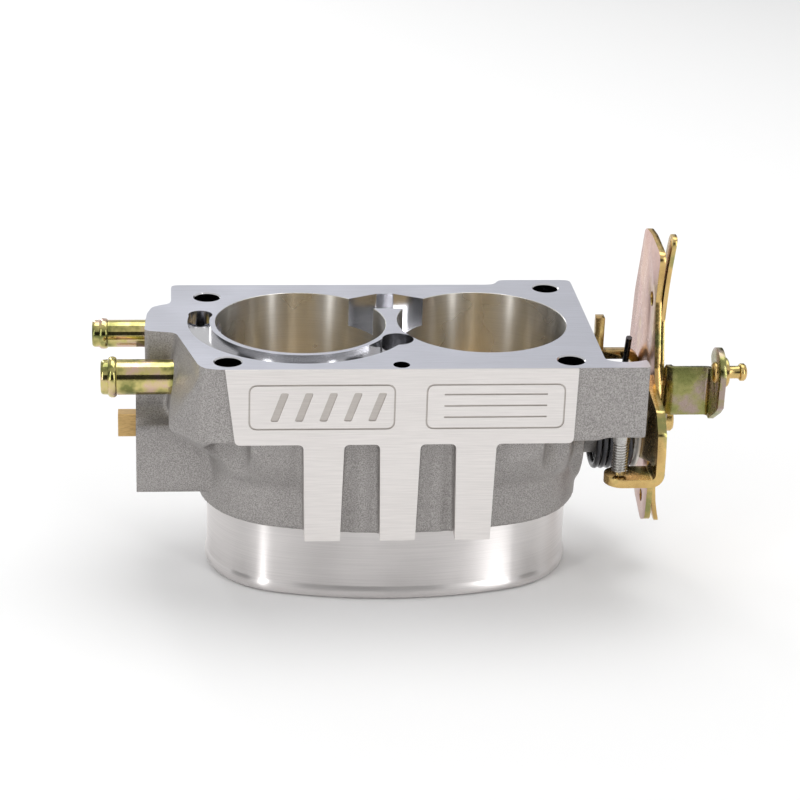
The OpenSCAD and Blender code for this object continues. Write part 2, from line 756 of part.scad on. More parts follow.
// Socket screw that clamps the levers against the shaft's shoulder
module lever_screw() {
    color("goldenrod") difference() {
        union() {
            rod_x(screw_shank_r, head_x - screw_shank_l, head_x + e);
            rod_x(4.2, head_x, head_x + head_t);
        }
        translate([head_x + head_t - 2.4, 0, shaft_z]) rotate([0, 90, 0])
            cylinder(r = 2.3, h = 3, $fn = 6);
    }
}

housing();
small_hose_barb();
large_hose_barb();
left_shaft_bearing();
right_shaft_bearing();
left_shaft_seal();
right_shaft_seal();
idle_stop_screw();
throttle_shaft();
left_throttle_plate();
right_throttle_plate();
left_plate_screws();
right_plate_screws();
shaft_retaining_ring();
spring_bushing();
return_spring();
stop_lever();
cable_quadrant();
cable_guide();
cruise_arm();
cruise_stud();
lever_washer();
lever_screw();
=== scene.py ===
"""Visual pieces, finishes, studio and camera of a twin-bore throttle body, built around its frame."""
import json
import logging
import math
from collections.abc import Iterator
from contextlib import contextmanager
from dataclasses import dataclass, field
from enum import Enum

import bpy
from mathutils import Matrix, Vector


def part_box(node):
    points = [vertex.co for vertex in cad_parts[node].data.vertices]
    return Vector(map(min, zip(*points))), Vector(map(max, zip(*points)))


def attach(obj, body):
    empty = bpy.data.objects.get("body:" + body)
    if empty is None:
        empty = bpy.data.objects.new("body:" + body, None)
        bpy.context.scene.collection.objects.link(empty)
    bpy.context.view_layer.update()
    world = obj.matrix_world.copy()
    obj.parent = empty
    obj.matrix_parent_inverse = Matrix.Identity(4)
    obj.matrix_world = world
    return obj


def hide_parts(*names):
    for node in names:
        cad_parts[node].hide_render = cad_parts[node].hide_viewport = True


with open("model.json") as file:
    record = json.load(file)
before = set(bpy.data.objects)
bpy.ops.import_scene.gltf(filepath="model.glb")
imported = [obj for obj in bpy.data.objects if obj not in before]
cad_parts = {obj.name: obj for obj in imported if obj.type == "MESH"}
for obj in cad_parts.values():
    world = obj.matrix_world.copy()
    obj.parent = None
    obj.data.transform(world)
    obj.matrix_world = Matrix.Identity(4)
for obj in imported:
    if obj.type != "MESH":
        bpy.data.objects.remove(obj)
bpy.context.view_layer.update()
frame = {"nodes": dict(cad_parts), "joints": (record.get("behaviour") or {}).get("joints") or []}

LOG = logging.getLogger("throttle_body")
MM = 0.001

Point = tuple[float, float]
Place = tuple[float, float, float]
Colour = tuple[float, float, float]


class Axis(Enum):
    """Direction that an outline is extruded or a profile is turned about."""

    X = 0
    Y = 1
    Z = 2

    def place(self, across: Point, along: float) -> Vector:
        """Turn an outline's point and a depth, in millimetres, into a place in metres.

        Args:
            across: The two coordinates square to the axis, in the order x, y, z.
            along: The coordinate along the axis.

        Returns:
            The point in the frame.
        """
        values = list(across)
        values.insert(self.value, along)
        return Vector(values) * MM

    @property
    def unit(self) -> Vector:
        """The axis as a unit vector."""
        return Vector([float(k == self.value) for k in range(3)])


class Blend(Enum):
    """How one solid is combined with another."""

    ADD = "UNION"
    CUT = "DIFFERENCE"
    KEEP = "INTERSECT"


def arc(centre: Point, radius: float, start: float, end: float, steps: int) -> list[Point]:
    """Give points along an arc.

    Args:
        centre: Centre of the arc.
        radius: Radius in millimetres.
        start: First angle in degrees.
        end: Last angle in degrees.
        steps: Number of chords.

    Returns:
        The points, both ends included.
    """
    angles = [math.radians(start + (end - start) * k / steps) for k in range(steps + 1)]
    return [(centre[0] + radius * math.cos(a), centre[1] + radius * math.sin(a)) for a in angles]


def fold(centre: Point, outer: float, sheet: float, start: float,
         end: float) -> tuple[list[Point], list[Point]]:
    """Give both sides of a bend in sheet metal.

    Args:
        centre: Centre of the bend.
        outer: Outer radius.
        sheet: Thickness of the sheet.
        start: First angle in degrees.
        end: Last angle in degrees.

    Returns:
        The outer arc, and the inner arc running back.
    """
    return arc(centre, outer, start, end, 8), arc(centre, outer - sheet, end, start, 8)


def rounded(points: list[Point], radius: float | list[float], steps: int = 6) -> list[Point]:
    """Round the corners of a closed outline.

    Args:
        points: Corners of the outline.
        radius: Corner radius in millimetres, or one for each corner, made smaller where an edge is short.
        steps: Number of chords in each corner.

    Returns:
        The outline with an arc at each corner.
    """
    result: list[Point] = []
    radii = radius if isinstance(radius, list) else [radius] * len(points)
    for index, corner in enumerate(points):
        here = Vector(corner)
        back = Vector(points[index - 1]) - here
        ahead = Vector(points[(index + 1) % len(points)]) - here
        half = back.angle(ahead) / 2
        if half > math.radians(87) or not radii[index]:
            result.append(corner)
            continue
        reach = min(radii[index] / math.tan(half), 0.45 * back.length, 0.45 * ahead.length)
        first = here + back.normalized() * reach
        last = here + ahead.normalized() * reach
        for k in range(steps + 1):
            t = k / steps
            spot = first * (1 - t) ** 2 + here * (2 * t * (1 - t)) + last * t ** 2
            result.append((spot.x, spot.y))
    return result


class Bench:
    """Modelling tools. Sizes are in millimetres, and each piece is left at the origin."""

    @staticmethod
    def clear() -> None:
        """Deselect every object."""
        bpy.ops.object.select_all(action="DESELECT")

    @staticmethod
    def pick(piece: bpy.types.Object) -> None:
        """Make a piece the only selected and active object."""
        Bench.clear()
        piece.select_set(True)
        bpy.context.view_layer.objects.active = piece

    @staticmethod
    @contextmanager
    def editing(piece: bpy.types.Object, whole: bool = True) -> Iterator[None]:
        """Open a piece in edit mode and close it again.

        Args:
            piece: The mesh object.
            whole: Whether all of it is selected first.

        Yields:
            Nothing.
        """
        Bench.pick(piece)
        bpy.ops.object.mode_set(mode="EDIT")
        if whole:
            bpy.ops.mesh.select_all(action="SELECT")
        yield
        bpy.ops.object.mode_set(mode="OBJECT")

    @staticmethod
    def tidy(piece: bpy.types.Object, merge: float = 0.0005) -> None:
        """Merge doubled points and turn the faces outwards.

        Args:
            piece: The mesh object.
            merge: Distance below which points are merged.
        """
        with Bench.editing(piece):
            bpy.ops.mesh.remove_doubles(threshold=merge * MM)
            bpy.ops.mesh.normals_make_consistent(inside=False)

    @staticmethod
    def ring(name: str, places: list[Vector], filled: bool = True) -> bpy.types.Object:
        """Add a closed ring of points.

        Args:
            name: Name of the new object.
            places: The points, in metres.
            filled: Whether a face spans the ring.

        Returns:
            The new object.
        """
        Bench.clear()
        fill = "NGON" if filled else "NOTHING"
        bpy.ops.mesh.primitive_circle_add(vertices=len(places), radius=MM, fill_type=fill)
        piece = bpy.context.object
        piece.name = name
        piece.data.name = name
        for vertex, spot in zip(piece.data.vertices, places):
            vertex.co = spot
        return piece

    @staticmethod
    def prism(name: str, points: list[Point], low: float, high: float, axis: Axis) -> bpy.types.Object:
        """Extrude an outline.

        Args:
            name: Name of the new object.
            points: Outline square to the axis.
            low: Start of the solid along the axis.
            high: End of the solid along the axis.
            axis: Axis of the extrusion.

        Returns:
            The new solid.
        """
        piece = Bench.ring(name, [axis.place(point, low) for point in points])
        step = axis.unit * (high - low) * MM
        with Bench.editing(piece):
            bpy.ops.mesh.extrude_region_move(TRANSFORM_OT_translate={"value": step})
        Bench.tidy(piece)
        return piece

    @staticmethod
    def loft(name: str, rings: list[tuple[list[Point], float]], axis: Axis) -> bpy.types.Object:
        """Extrude an outline level by level, with a new outline at each level.

        Args:
            name: Name of the new object.
            rings: Outline and place along the axis of each level, all with as many points.
            axis: Axis of the extrusion.

        Returns:
            The new solid.
        """
        points, along = rings[0]
        piece = Bench.ring(name, [axis.place(point, along) for point in points])
        for level, (points, along) in enumerate(rings[1:]):
            with Bench.editing(piece, whole=level == 0):
                bpy.ops.mesh.extrude_region_move(TRANSFORM_OT_translate={"value": axis.unit * MM})
            top = [v for v in piece.data.vertices if v.select]
            for vertex, point in zip(top, points):
                vertex.co = axis.place(point, along)
        Bench.tidy(piece)
        return piece

    @staticmethod
    def rod(name: str, centre: Point, radius: float, low: float, high: float, axis: Axis,
            sides: int = 96) -> bpy.types.Object:
        """Add a round bar.

        Args:
            name: Name of the new object.
            centre: Centre in the plane square to the axis.
            radius: Radius of the bar.
            low: Start of the bar along the axis.
            high: End of the bar along the axis.
            axis: Axis of the bar.
            sides: Number of sides.

        Returns:
            The new solid.
        """
        return Bench.prism(name, arc(centre, radius, 0, 360, sides)[:-1], low, high, axis)

    @staticmethod
    def turned(name: str, profile: list[Point], centre: Point, axis: Axis,
               sides: int = 72) -> bpy.types.Object:
        """Spin a closed profile into a turned part.

        Args:
            name: Name of the new object.
            profile: Corners as (place along the axis, radius).
            centre: Place of the axis in the plane square to it.
            axis: Axis of turning.
            sides: Number of steps round.

        Returns:
            The new solid.
        """
        corners = [axis.place((centre[0] + radius, centre[1]), along) for along, radius in profile]
        piece = Bench.ring(name, corners, filled=False)
        middle = axis.place(centre, 0)
        with Bench.editing(piece):
            bpy.ops.mesh.spin(steps=sides, angle=2 * math.pi, center=middle, axis=axis.unit)
        Bench.tidy(piece)
        return piece

    @staticmethod
    def modify(piece: bpy.types.Object, kind: str, apply: bool = True, **settings: object) -> None:
        """Add a modifier.

        Args:
            piece: The object.
            kind: Blender's name for the kind of modifier.
            apply: Whether it is applied straight away.
            **settings: Values of the modifier's own settings.
        """
        modifier = piece.modifiers.new(kind.lower(), kind)
        for name, value in settings.items():
            setattr(modifier, name, value)
        if apply:
            Bench.pick(piece)
            bpy.ops.object.modifier_apply(modifier=modifier.name)

    @staticmethod
    def combine(piece: bpy.types.Object, how: Blend, *tools: bpy.types.Object) -> bpy.types.Object:
        """Combine a piece with tool solids, which are used up.

        Args:
            piece: The solid that is changed.
            how: The kind of combination.
            *tools: The solids that are added, cut away or kept to.

        Returns:
            The changed piece.
        """
        for tool in tools:
            Bench.modify(piece, "BOOLEAN", operation=how.value, object=tool, solver="MANIFOLD",
                         material_mode="TRANSFER")
            bpy.data.objects.remove(tool)
        return piece

    @staticmethod
    def soften(piece: bpy.types.Object, width: float) -> None:
        """Round a piece's sharp edges by a width and shade it."""
        Bench.modify(piece, "BEVEL", width=width * MM, segments=2, limit_method="ANGLE",
                     angle_limit=math.radians(30), use_clamp_overlap=True)
        Bench.shade(piece)

    @staticmethod
    def shade(piece: bpy.types.Object, angle: float = 35) -> None:
        """Shade a piece smooth up to an angle in degrees."""
        Bench.pick(piece)
        bpy.ops.object.shade_smooth_by_angle(angle=math.radians(angle))

    @staticmethod
    def slice(piece: bpy.types.Object, through: Vector, normal: Vector) -> None:
        """Add an edge loop where a plane crosses a piece.

        Args:
            piece: The mesh object.
            through: A point of the plane, in metres.
            normal: The plane's normal.
        """
        with Bench.editing(piece):
            bpy.ops.mesh.bisect(plane_co=through, plane_no=normal)


class Shader:
    """A material under construction, with one metal or plastic shader."""

    def __init__(self, name: str) -> None:
        """Start a material.

        Args:
            name: Name of the material.
        """
        self.material = bpy.data.materials.new(name)
        self.material.use_nodes = True
        self.tree = self.material.node_tree
        self.surface = self.tree.nodes["Principled BSDF"]
        self.place = self.node("TexCoord").outputs["Object"]

    def node(self, kind: str, **inputs: object) -> bpy.types.Node:
        """Add a node.

        Args:
            kind: The kind of node, without its usual prefix.
            **inputs: Values or links for its sockets, named with underscores for spaces.

        Returns:
            The node.
        """
        node = self.tree.nodes.new(f"ShaderNode{kind}")
        for name, value in inputs.items():
            socket = node.inputs[name.replace("_", " ")]
            if isinstance(value, bpy.types.NodeSocket):
                self.tree.links.new(value, socket)
            else:
                socket.default_value = value
        return node

    def constant(self, **values: float | Colour) -> None:
        """Set the shader's own sockets, named with underscores for spaces."""
        for name, value in values.items():
            socket = self.surface.inputs[name.replace("_", " ")]
            socket.default_value = (*value, 1.0) if isinstance(value, tuple) else value

    def noise(self, grain: float, stretch: tuple[float, float, float] = (1, 1, 1),
              detail: float = 3.0) -> bpy.types.NodeSocket:
        """Add a noise pattern.

        Args:
            grain: Size of the pattern in millimetres.
            stretch: How often the pattern repeats along each axis, against the others.
            detail: Number of finer layers.

        Returns:
            The noise value.
        """
        mapping = self.node("Mapping", Vector=self.place, Scale=[s / (grain * MM) for s in stretch])
        place = mapping.outputs["Vector"]
        return self.node("TexNoise", Vector=place, Scale=1.0, Detail=detail).outputs["Fac"]

    def ramp(self, value: bpy.types.NodeSocket, stops: list[tuple[float, Colour]]) -> bpy.types.NodeSocket:
        """Turn a value into a colour.

        Args:
            value: The value that runs along the ramp.
            stops: Places and colours along the ramp.

        Returns:
            The colour.
        """
        node = self.node("ValToRGB", Fac=value)
        elements = node.color_ramp.elements
        while len(elements) < len(stops):
            elements.new(0.5)
        for element, (spot, colour) in zip(elements, stops):
            element.position = spot
            element.color = (*colour, 1.0)
        return node.outputs["Color"]

    def shift(self, value: bpy.types.NodeSocket, low: float, high: float) -> bpy.types.NodeSocket:
        """Spread a noise value over a range.

        Args:
            value: The noise value.
            low: Result where the noise is low.
            high: Result where the noise is high.

        Returns:
            The spread value.
        """
        return self.node("MapRange", Value=value, From_Min=0.3, From_Max=0.7, To_Min=low,
                         To_Max=high).outputs["Result"]

    def drive(self, socket: str, value: bpy.types.NodeSocket) -> None:
        """Link a pattern to one of the shader's sockets."""
        self.tree.links.new(value, self.surface.inputs[socket])

    def relief(self, value: bpy.types.NodeSocket, depth: float, strength: float = 1.0) -> None:
        """Add surface relief, over any relief that is already there.

        Args:
            value: Height pattern.
            depth: Height of the relief in millimetres.
            strength: How strongly it shows.
        """
        bump = self.node("Bump", Height=value, Distance=depth * MM, Strength=strength)
        normal = self.surface.inputs["Normal"]
        if normal.is_linked:
            self.tree.links.new(normal.links[0].from_socket, bump.inputs["Normal"])
        self.tree.links.new(bump.outputs["Normal"], normal)

    def turned_about(self, axis: Axis) -> None:
        """Lay the highlights across tool marks that run round an axis."""
        tangent = self.node("Tangent")
        tangent.direction_type = "RADIAL"
        tangent.axis = axis.name
        self.drive("Tangent", tangent.outputs["Tangent"])


@dataclass(frozen=True)
class CastSkin:
    """Blasted skin of a sand casting."""

    name: str = "cast_skin"
    dark: Colour = (0.235, 0.222, 0.215)
    light: Colour = (0.46, 0.438, 0.425)
    grain: float = 0.36
    blotch: float = 14.0

    def material(self) -> bpy.types.Material:
        """Build the material."""
        shader = Shader(self.name)
        grain = shader.noise(self.grain, detail=4.0)
        shader.drive("Base Color", shader.ramp(grain, [(0.36, self.dark), (0.66, self.light)]))
        shader.drive("Roughness", shader.shift(shader.noise(self.blotch), 0.42, 0.58))
        shader.constant(Metallic=0.55)
        shader.relief(grain, 0.09, 0.6)
        shader.relief(shader.noise(self.blotch, detail=1.0), 0.35, 0.5)
        return shader.material


class Cutter(Enum):
    """Way that a machined face was cut, as the stretch of its tool marks along x, y and z."""

    FACED = (0.03, 1.0, 0.03)
    FRONT = (0.03, 0.03, 1.0)
    TURNED = (0.01, 0.01, 1.0)


@dataclass(frozen=True)
class MachinedFace:
    """Cut aluminium with fine tool marks."""

    name: str
    colour: Colour
    cutter: Cutter
    roughness: tuple[float, float]
    mark: float = 0.35
    depth: float = 0.01
    anisotropic: float = 0.0
    metallic: float = 0.9
    streak: float = 0.0

    def material(self) -> bpy.types.Material:
        """Build the material."""
        shader = Shader(self.name)
        marks = shader.noise(self.mark, self.cutter.value, 2.0)
        patches = shader.noise(22.0, detail=2.0)
        shade = tuple(c * 0.9 for c in self.colour)
        shader.drive("Base Color", shader.ramp(marks, [(0.3, shade), (0.7, self.colour)]))
        shader.drive("Roughness", shader.shift(patches, *self.roughness))
        shader.constant(Metallic=self.metallic)
        shader.relief(marks, self.depth, 0.5)
        if self.streak:
            shader.relief(shader.noise(self.streak, (1.0, 1.0, 0.02), 2.0), 0.05, 0.35)
        if self.anisotropic:
            shader.constant(Anisotropic=self.anisotropic, Anisotropic_Rotation=0.25)
            shader.turned_about(Axis.Z)
        return shader.material


@dataclass(frozen=True)
class Chromate:
    """Yellow chromate over zinc, with drifting olive, gold and pink."""

    name: str
    tints: tuple[Colour, Colour, Colour]
    roughness: tuple[float, float] = (0.2, 0.36)
    drift: float = 11.0

    def material(self) -> bpy.types.Material:
        """Build the material."""
        shader = Shader(self.name)
        drift = shader.noise(self.drift, detail=3.0)
        stops = list(zip((0.36, 0.5, 0.64), self.tints))
        shader.drive("Base Color", shader.ramp(drift, stops))
        shader.drive("Roughness", shader.shift(shader.noise(1.2), *self.roughness))
        shader.constant(Metallic=1.0)
        shader.relief(shader.noise(0.45, detail=2.0), 0.02, 0.35)
        return shader.material


@dataclass(frozen=True)
class PlainMetal:
    """Solid metal with a light drawn or milled grain."""

    name: str
    colour: Colour
    roughness: tuple[float, float] = (0.25, 0.4)
    stretch: tuple[float, float, float] = (1.0, 1.0, 1.0)
    grain: float = 0.4

    def material(self) -> bpy.types.Material:
        """Build the material."""
        shader = Shader(self.name)
        grain = shader.noise(self.grain, self.stretch)
        shade = tuple(c * 0.78 for c in self.colour)
        shader.drive("Base Color", shader.ramp(grain, [(0.35, shade), (0.65, self.colour)]))
        shader.drive("Roughness", shader.shift(shader.noise(5.0), *self.roughness))
        shader.constant(Metallic=1.0)
        shader.relief(grain, 0.012, 0.4)
        return shader.material


@dataclass(frozen=True)
class Moulded:
    """Moulded nylon or rubber."""

    name: str
    colour: Colour
    roughness: tuple[float, float]

    def material(self) -> bpy.types.Material:
        """Build the material."""
        shader = Shader(self.name)
        shade = tuple(c * 0.85 for c in self.colour)
        shader.drive("Base Color", shader.ramp(shader.noise(3.0), [(0.3, shade), (0.7, self.colour)]))
        shader.drive("Roughness", shader.shift(shader.noise(0.8), *self.roughness))
        shader.relief(shader.noise(0.3), 0.01, 0.3)
        return shader.material


MOSS = (0.20, 0.21, 0.07)
OLIVE = (0.30, 0.29, 0.11)
BRASS = (0.60, 0.52, 0.20)
GOLD = (0.66, 0.46, 0.18)
MAUVE = (0.36, 0.28, 0.24)
PINK = (0.66, 0.46, 0.38)
CLAY = (0.62, 0.42, 0.35)
# Pink used only to paint shade on the quadrant's bent rear band.
PAINTED_SHADE_PINK = (0.60, 0.39, 0.35)
ROSE = (0.56, 0.38, 0.34)
TAN = (0.62, 0.46, 0.29)
BRONZE = (0.52, 0.34, 0.13)


class Finishes:
    """Every finish of the object, each built once."""

    def __init__(self) -> None:
        """Build the materials."""
        self.cast = CastSkin().material()
        self.faced = MachinedFace("faced_aluminium", (0.62, 0.63, 0.70), Cutter.FACED,
                                  (0.3, 0.42)).material()
        self.front = MachinedFace("front_aluminium", (0.80, 0.765, 0.745), Cutter.FRONT, (0.34, 0.44),
                                  metallic=0.85).material()
        self.engraved = MachinedFace("engraved_aluminium", (0.56, 0.52, 0.49), Cutter.FRONT,
                                     (0.4, 0.5)).material()
        self.turned = MachinedFace("turned_aluminium", (0.78, 0.75, 0.74), Cutter.TURNED, (0.28, 0.36),
                                   mark=0.28, anisotropic=0.95, metallic=1.0).material()
        self.milled = MachinedFace("milled_aluminium", (0.70, 0.70, 0.72), Cutter.TURNED, (0.12, 0.2),
                                   mark=0.5, metallic=1.0, streak=3.0).material()
        # Near-black metal that paints the shade deep inside the bolt and locator holes.
        self.drilled = MachinedFace("drilled_aluminium", (0.22, 0.22, 0.23), Cutter.TURNED, (0.1, 0.18),
                                    mark=0.5, metallic=1.0).material()
        self.bore = MachinedFace("bored_aluminium", (0.76, 0.74, 0.70), Cutter.TURNED, (0.24, 0.32), mark=0.22,
                                 anisotropic=0.97, metallic=1.0, streak=2.2).material()
        self.barb = Chromate("chromate_barb", (MOSS, BRASS, PINK), (0.07, 0.15), 7.0).material()
        self.lever = Chromate("chromate_lever", (OLIVE, GOLD, BRONZE), (0.16, 0.3)).material()
        self.quadrant = Chromate("chromate_quadrant", (CLAY, ROSE, TAN), (0.26, 0.38), 18.0).material()
        # Pinker chromate for the quadrant's bent rear band: painted shade where the crease turns it from the
        # light.
        self.bent_band_shade = Chromate("chromate_crease", (PINK, PAINTED_SHADE_PINK, CLAY), (0.22, 0.34), 18.0).material()
        self.arm = Chromate("chromate_arm", (MOSS, OLIVE, MAUVE), (0.18, 0.32), 7.0).material()
        self.shaft = PlainMetal("shaft_brass", (0.60, 0.40, 0.17), (0.3, 0.42), (0.2, 1, 1)).material()
        self.plate = PlainMetal("plate_brass", (0.66, 0.50, 0.24), (0.16, 0.28), (0.1, 1, 1)).material()
        self.bright = PlainMetal("bright_steel", (0.62, 0.61, 0.59), (0.14, 0.26)).material()
        self.bearing = PlainMetal("bearing_steel", (0.48, 0.48, 0.5), (0.2, 0.3)).material()
        self.spring = PlainMetal("spring_steel", (0.07, 0.07, 0.075), (0.22, 0.34)).material()
        self.nylon = Moulded("natural_nylon", (0.78, 0.75, 0.70), (0.45, 0.6)).material()
        self.rubber = Moulded("seal_rubber", (0.03, 0.03, 0.03), (0.6, 0.8)).material()


def dress(piece: bpy.types.Object, material: bpy.types.Material) -> bpy.types.Object:
    """Give a piece one material in place of any that it has.

    Args:
        piece: The object.
        material: Its new material.

    Returns:
        The object.
    """
    piece.data.materials.clear()
    piece.data.materials.append(material)
    return piece


def enter(piece: bpy.types.Object, node: str, body: str) -> None:
    """Put a finished piece in place of its CAD node and report it.

    Args:
        piece: The finished piece.
        node: CAD node that it stands for.
        body: CAD body that it moves with.
    """
    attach(piece, body)
    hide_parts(node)
    LOG.info("%s: %d faces, rides on %s", piece.name, len(piece.data.polygons), body)


@dataclass(frozen=True)
class BarbSize:
    """Sizes of a hose barb that its CAD node doesn't give."""

    node: str
    bead: float
    way_depth: float
    seat_x: float
    wall: float = 1.2


BARBS = (BarbSize("small_hose_barb", 0.6, 20.0, -84.0), BarbSize("large_hose_barb", 0.95, 24.0, -74.6))


@dataclass
class Layout:
    """Places taken from the frame, in millimetres."""

    top: float = field(init=False)
    front: float = field(init=False)
    shaft_z: float = field(init=False)
    bore_x: float = field(init=False)
    bore_r: float = field(init=False)
    low: dict[str, Vector] = field(init=False)
    high: dict[str, Vector] = field(init=False)
    plate_gap: float = 0.12

    def __post_init__(self) -> None:
        """Read the frame."""
        boxes = {name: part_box(name) for name in frame["nodes"]}
        self.low = {name: box[0] / MM for name, box in boxes.items()}
        self.high = {name: box[1] / MM for name, box in boxes.items()}
        self.top = self.high["housing"].z
        self.front = -self.low["housing"].y
        hinge = next(j for j in frame["joints"] if j["type"] == "hinge")
        self.shaft_z = hinge["pos_m"][2] / MM
        plate_low = self.low["right_throttle_plate"]
        plate_high = self.high["right_throttle_plate"]
        self.bore_x = (plate_low.x + plate_high.x) / 2
        self.bore_r = (plate_high.x - plate_low.x) / 2 + self.plate_gap

    def box(self, node: str) -> tuple[Vector, Vector]:
        """Give the lowest and highest corner of a node."""
        return self.low[node], self.high[node]

    def centre(self, node: str, axis: Axis) -> Point:
        """Give the centre of a node in the plane square to an axis."""
        low, high = self.box(node)
        return tuple((low[k] + high[k]) / 2 for k in range(3) if k != axis.value)

    def radius(self, node: str, across: Axis = Axis.Y) -> float:
        """Give the radius of a round node, measured along an axis square to its own."""
        return (self.high[node][across.value] - self.low[node][across.value]) / 2

    @property
    def shaft(self) -> Point:
        """The place of the shaft's axis in y and z."""
        return 0.0, self.shaft_z


@dataclass
class Housing:
    """Cast housing with its machined faces."""

    at: Layout
    finish: Finishes
    collar_h: float = 26.0
    collar_wall: float = 2.9
    belly: float = 4.6
    bead_h: float = 4.8
    bead_out: float = 0.8
    inlet_depth: float = 22.0
    inlet_step: float = 0.4
    head_h: float = 26.4
    bolt_r: float = 4.4
    bolt_depth: float = 29.0
    front_bolts: float = 113.0
    front_bolt_y: float = -36.4
    rear_bolts: tuple[Point, Point] = ((-62.5, 24.8), (57.9, 33.4))
    locator_r: float = 2.75
    groove_w: float = 7.4
    groove_depth: float = 2.9
    groove_span: tuple[float, float] = (168.0, 328.0)
    pocket_depth: float = 10.0
    rib_pitch: float = 25.2
    rib_widths: tuple[float, float] = (13.4, 11.8)
    rib_fillet: float = 2.0
    front_pocket: tuple[float, float, float] = (0.8, -16.4, 5.3)
    sensor_r: float = 12.0
    sensor_depth: float = 3.0
    sensor_screws: float = 29.0
    sensor_screw_r: float = 1.65
    shaft_way_r: float = 5.05
    seal_depth: float = 3.8
    press_fit: float = 0.02
    plug_grow: float = 0.6
    milling: float = 3.0
    screw_hole_r: float = 3.05
    screw_room: float = 2.4
    engraved_line: float = 0.55
    voxel: float = 0.9
    cast_step: float = 0.9

    def oval(self, grow: float, deep: float | None = None) -> list[Point]:
        """Give the oval round both bores.

        Args:
            grow: Distance of the end arcs outside the bores.
            deep: Distance of the front and rear outside the bores; the same belly when left out.

        Returns:
            The outline, from the right-hand end round.
        """
        centre = self.at.bore_x
        radius = self.at.bore_r + grow
        reach = self.at.bore_r + (grow + self.belly if deep is None else deep)
        big = (centre ** 2 + reach ** 2 - radius ** 2) / (2 * (reach - radius))
        turn = math.degrees(math.atan2(big - reach, centre))
        right = arc((centre, 0), radius, -turn, turn, 44)
        rear = arc((0, reach - big), big, turn, 180 - turn, 30)
        left = arc((-centre, 0), radius, 180 - turn, 180 + turn, 44)
        fore = arc((0, big - reach), big, 180 + turn, 360 - turn, 30)
        return right[:-1] + rear[:-1] + left[:-1] + fore[:-1]

    @property
    def bolt_spots(self) -> list[Point]:
        """The centres of the four bolt holes."""
        half = self.front_bolts / 2
        return [(-half, self.front_bolt_y), (half, self.front_bolt_y), *self.rear_bolts]

    def rods(self, z_low: float, extra: float) -> list[bpy.types.Object]:
        """Make bars the size of the bolt and locating holes.

        Args:
            z_low: How far down the bars reach.
            extra: Distance that they stand outside the holes.

        Returns:
            The bars.
        """
        high = self.at.top + (0 if extra else 2)
        radius = self.bolt_r + extra
        bars = [Bench.rod("bolt", spot, radius, z_low, high, Axis.Z, 64) for spot in self.bolt_spots]
        locator = (0.0, -self.at.front + 4.6)
        low = self.at.top - 12 - extra
        return bars + [Bench.rod("locator", locator, self.locator_r + extra, low, high, Axis.Z, 48)]

    def casting(self) -> bpy.types.Object:
        """Make the rough casting, with its holes still filled, standing over its machined faces."""
        node = frame["nodes"]["housing"]
        piece = node.copy()
        piece.data = node.data.copy()
        piece.name = "housing_casting"
        piece.parent = None
        for key in list(piece.keys()):
            del piece[key]
        bpy.context.scene.collection.objects.link(piece)
        dress(piece, self.finish.cast)
        Bench.tidy(piece, 0.002)
        at = self.at
        left, nose = at.low["housing"].x, at.high["right_shaft_seal"].x
        grow = self.plug_grow
        groove = arc((-at.bore_x, 0), at.bore_r + self.groove_w + 3.2, 160, 335, 48)
        screw = at.centre("idle_stop_screw", Axis.Z)
        between_bores = [(-15, -28), (15, -28), (15, 29), (-15, 29)]
        plugs = [Bench.rod("bore", (s * at.bore_x, 0), at.bore_r + grow, 2, at.top, Axis.Z) for s in (-1, 1)]
        plugs += [
            Bench.prism("inlet", self.oval(self.inlet_step + 0.8), 2, 40, Axis.Z),
            Bench.prism("pockets", between_bores, 60, at.top, Axis.Z),
            Bench.prism("groove", groove, 58, at.top, Axis.Z),
            *self.rods(at.top - 12, 0.8),
            Bench.rod("sensor_end", at.shaft, self.sensor_r + grow, left, -60, Axis.X),
            Bench.rod("linkage_end", at.shaft, 8.6, 40, nose, Axis.X),
        ]
        for barb in BARBS:
            centre, radius = at.centre(barb.node, Axis.X), at.radius(barb.node) - 0.4
            plugs.append(Bench.rod("barb", centre, radius, barb.seat_x, -40, Axis.X))
        plugs.append(Bench.rod("stop_screw", screw, 3.4, 62.5, 79.5, Axis.Z, 48))
        for plug in plugs:
            dress(plug, self.finish.cast)
        Bench.combine(piece, Blend.ADD, *plugs)
        self.raise_faces(piece)
        return self.cast_surface(piece)

    def raise_faces(self, piece: bpy.types.Object) -> None:
        """Pull the manifold face and the sensor face outwards, for the cutter to take off again."""
        at = self.at
        for axis, place, way in ((Axis.Z, at.top, 1), (Axis.X, at.low["housing"].x, -1)):
            Bench.pick(piece)
            bpy.ops.object.mode_set(mode="EDIT")
            bpy.ops.mesh.select_mode(type="FACE")
            bpy.ops.mesh.select_all(action="DESELECT")
            bpy.ops.object.mode_set(mode="OBJECT")
            for face in piece.data.polygons:
                near = abs(face.center[axis.value] / MM - place) < 0.05
                face.select = near and face.normal[axis.value] * way > 0.99
            step = axis.unit * way * self.milling * MM
            with Bench.editing(piece, whole=False):
                bpy.ops.mesh.extrude_region_move(TRANSFORM_OT_translate={"value": step})
                bpy.ops.mesh.select_mode(type="VERT")

    def cast_surface(self, piece: bpy.types.Object) -> bpy.types.Object:
        """Remesh the rough casting and smooth its corners into fillets."""
        Bench.modify(piece, "REMESH", mode="VOXEL", voxel_size=self.voxel * MM)
        Bench.modify(piece, "SMOOTH", factor=0.5, iterations=9)
        return dress(piece, self.finish.cast)

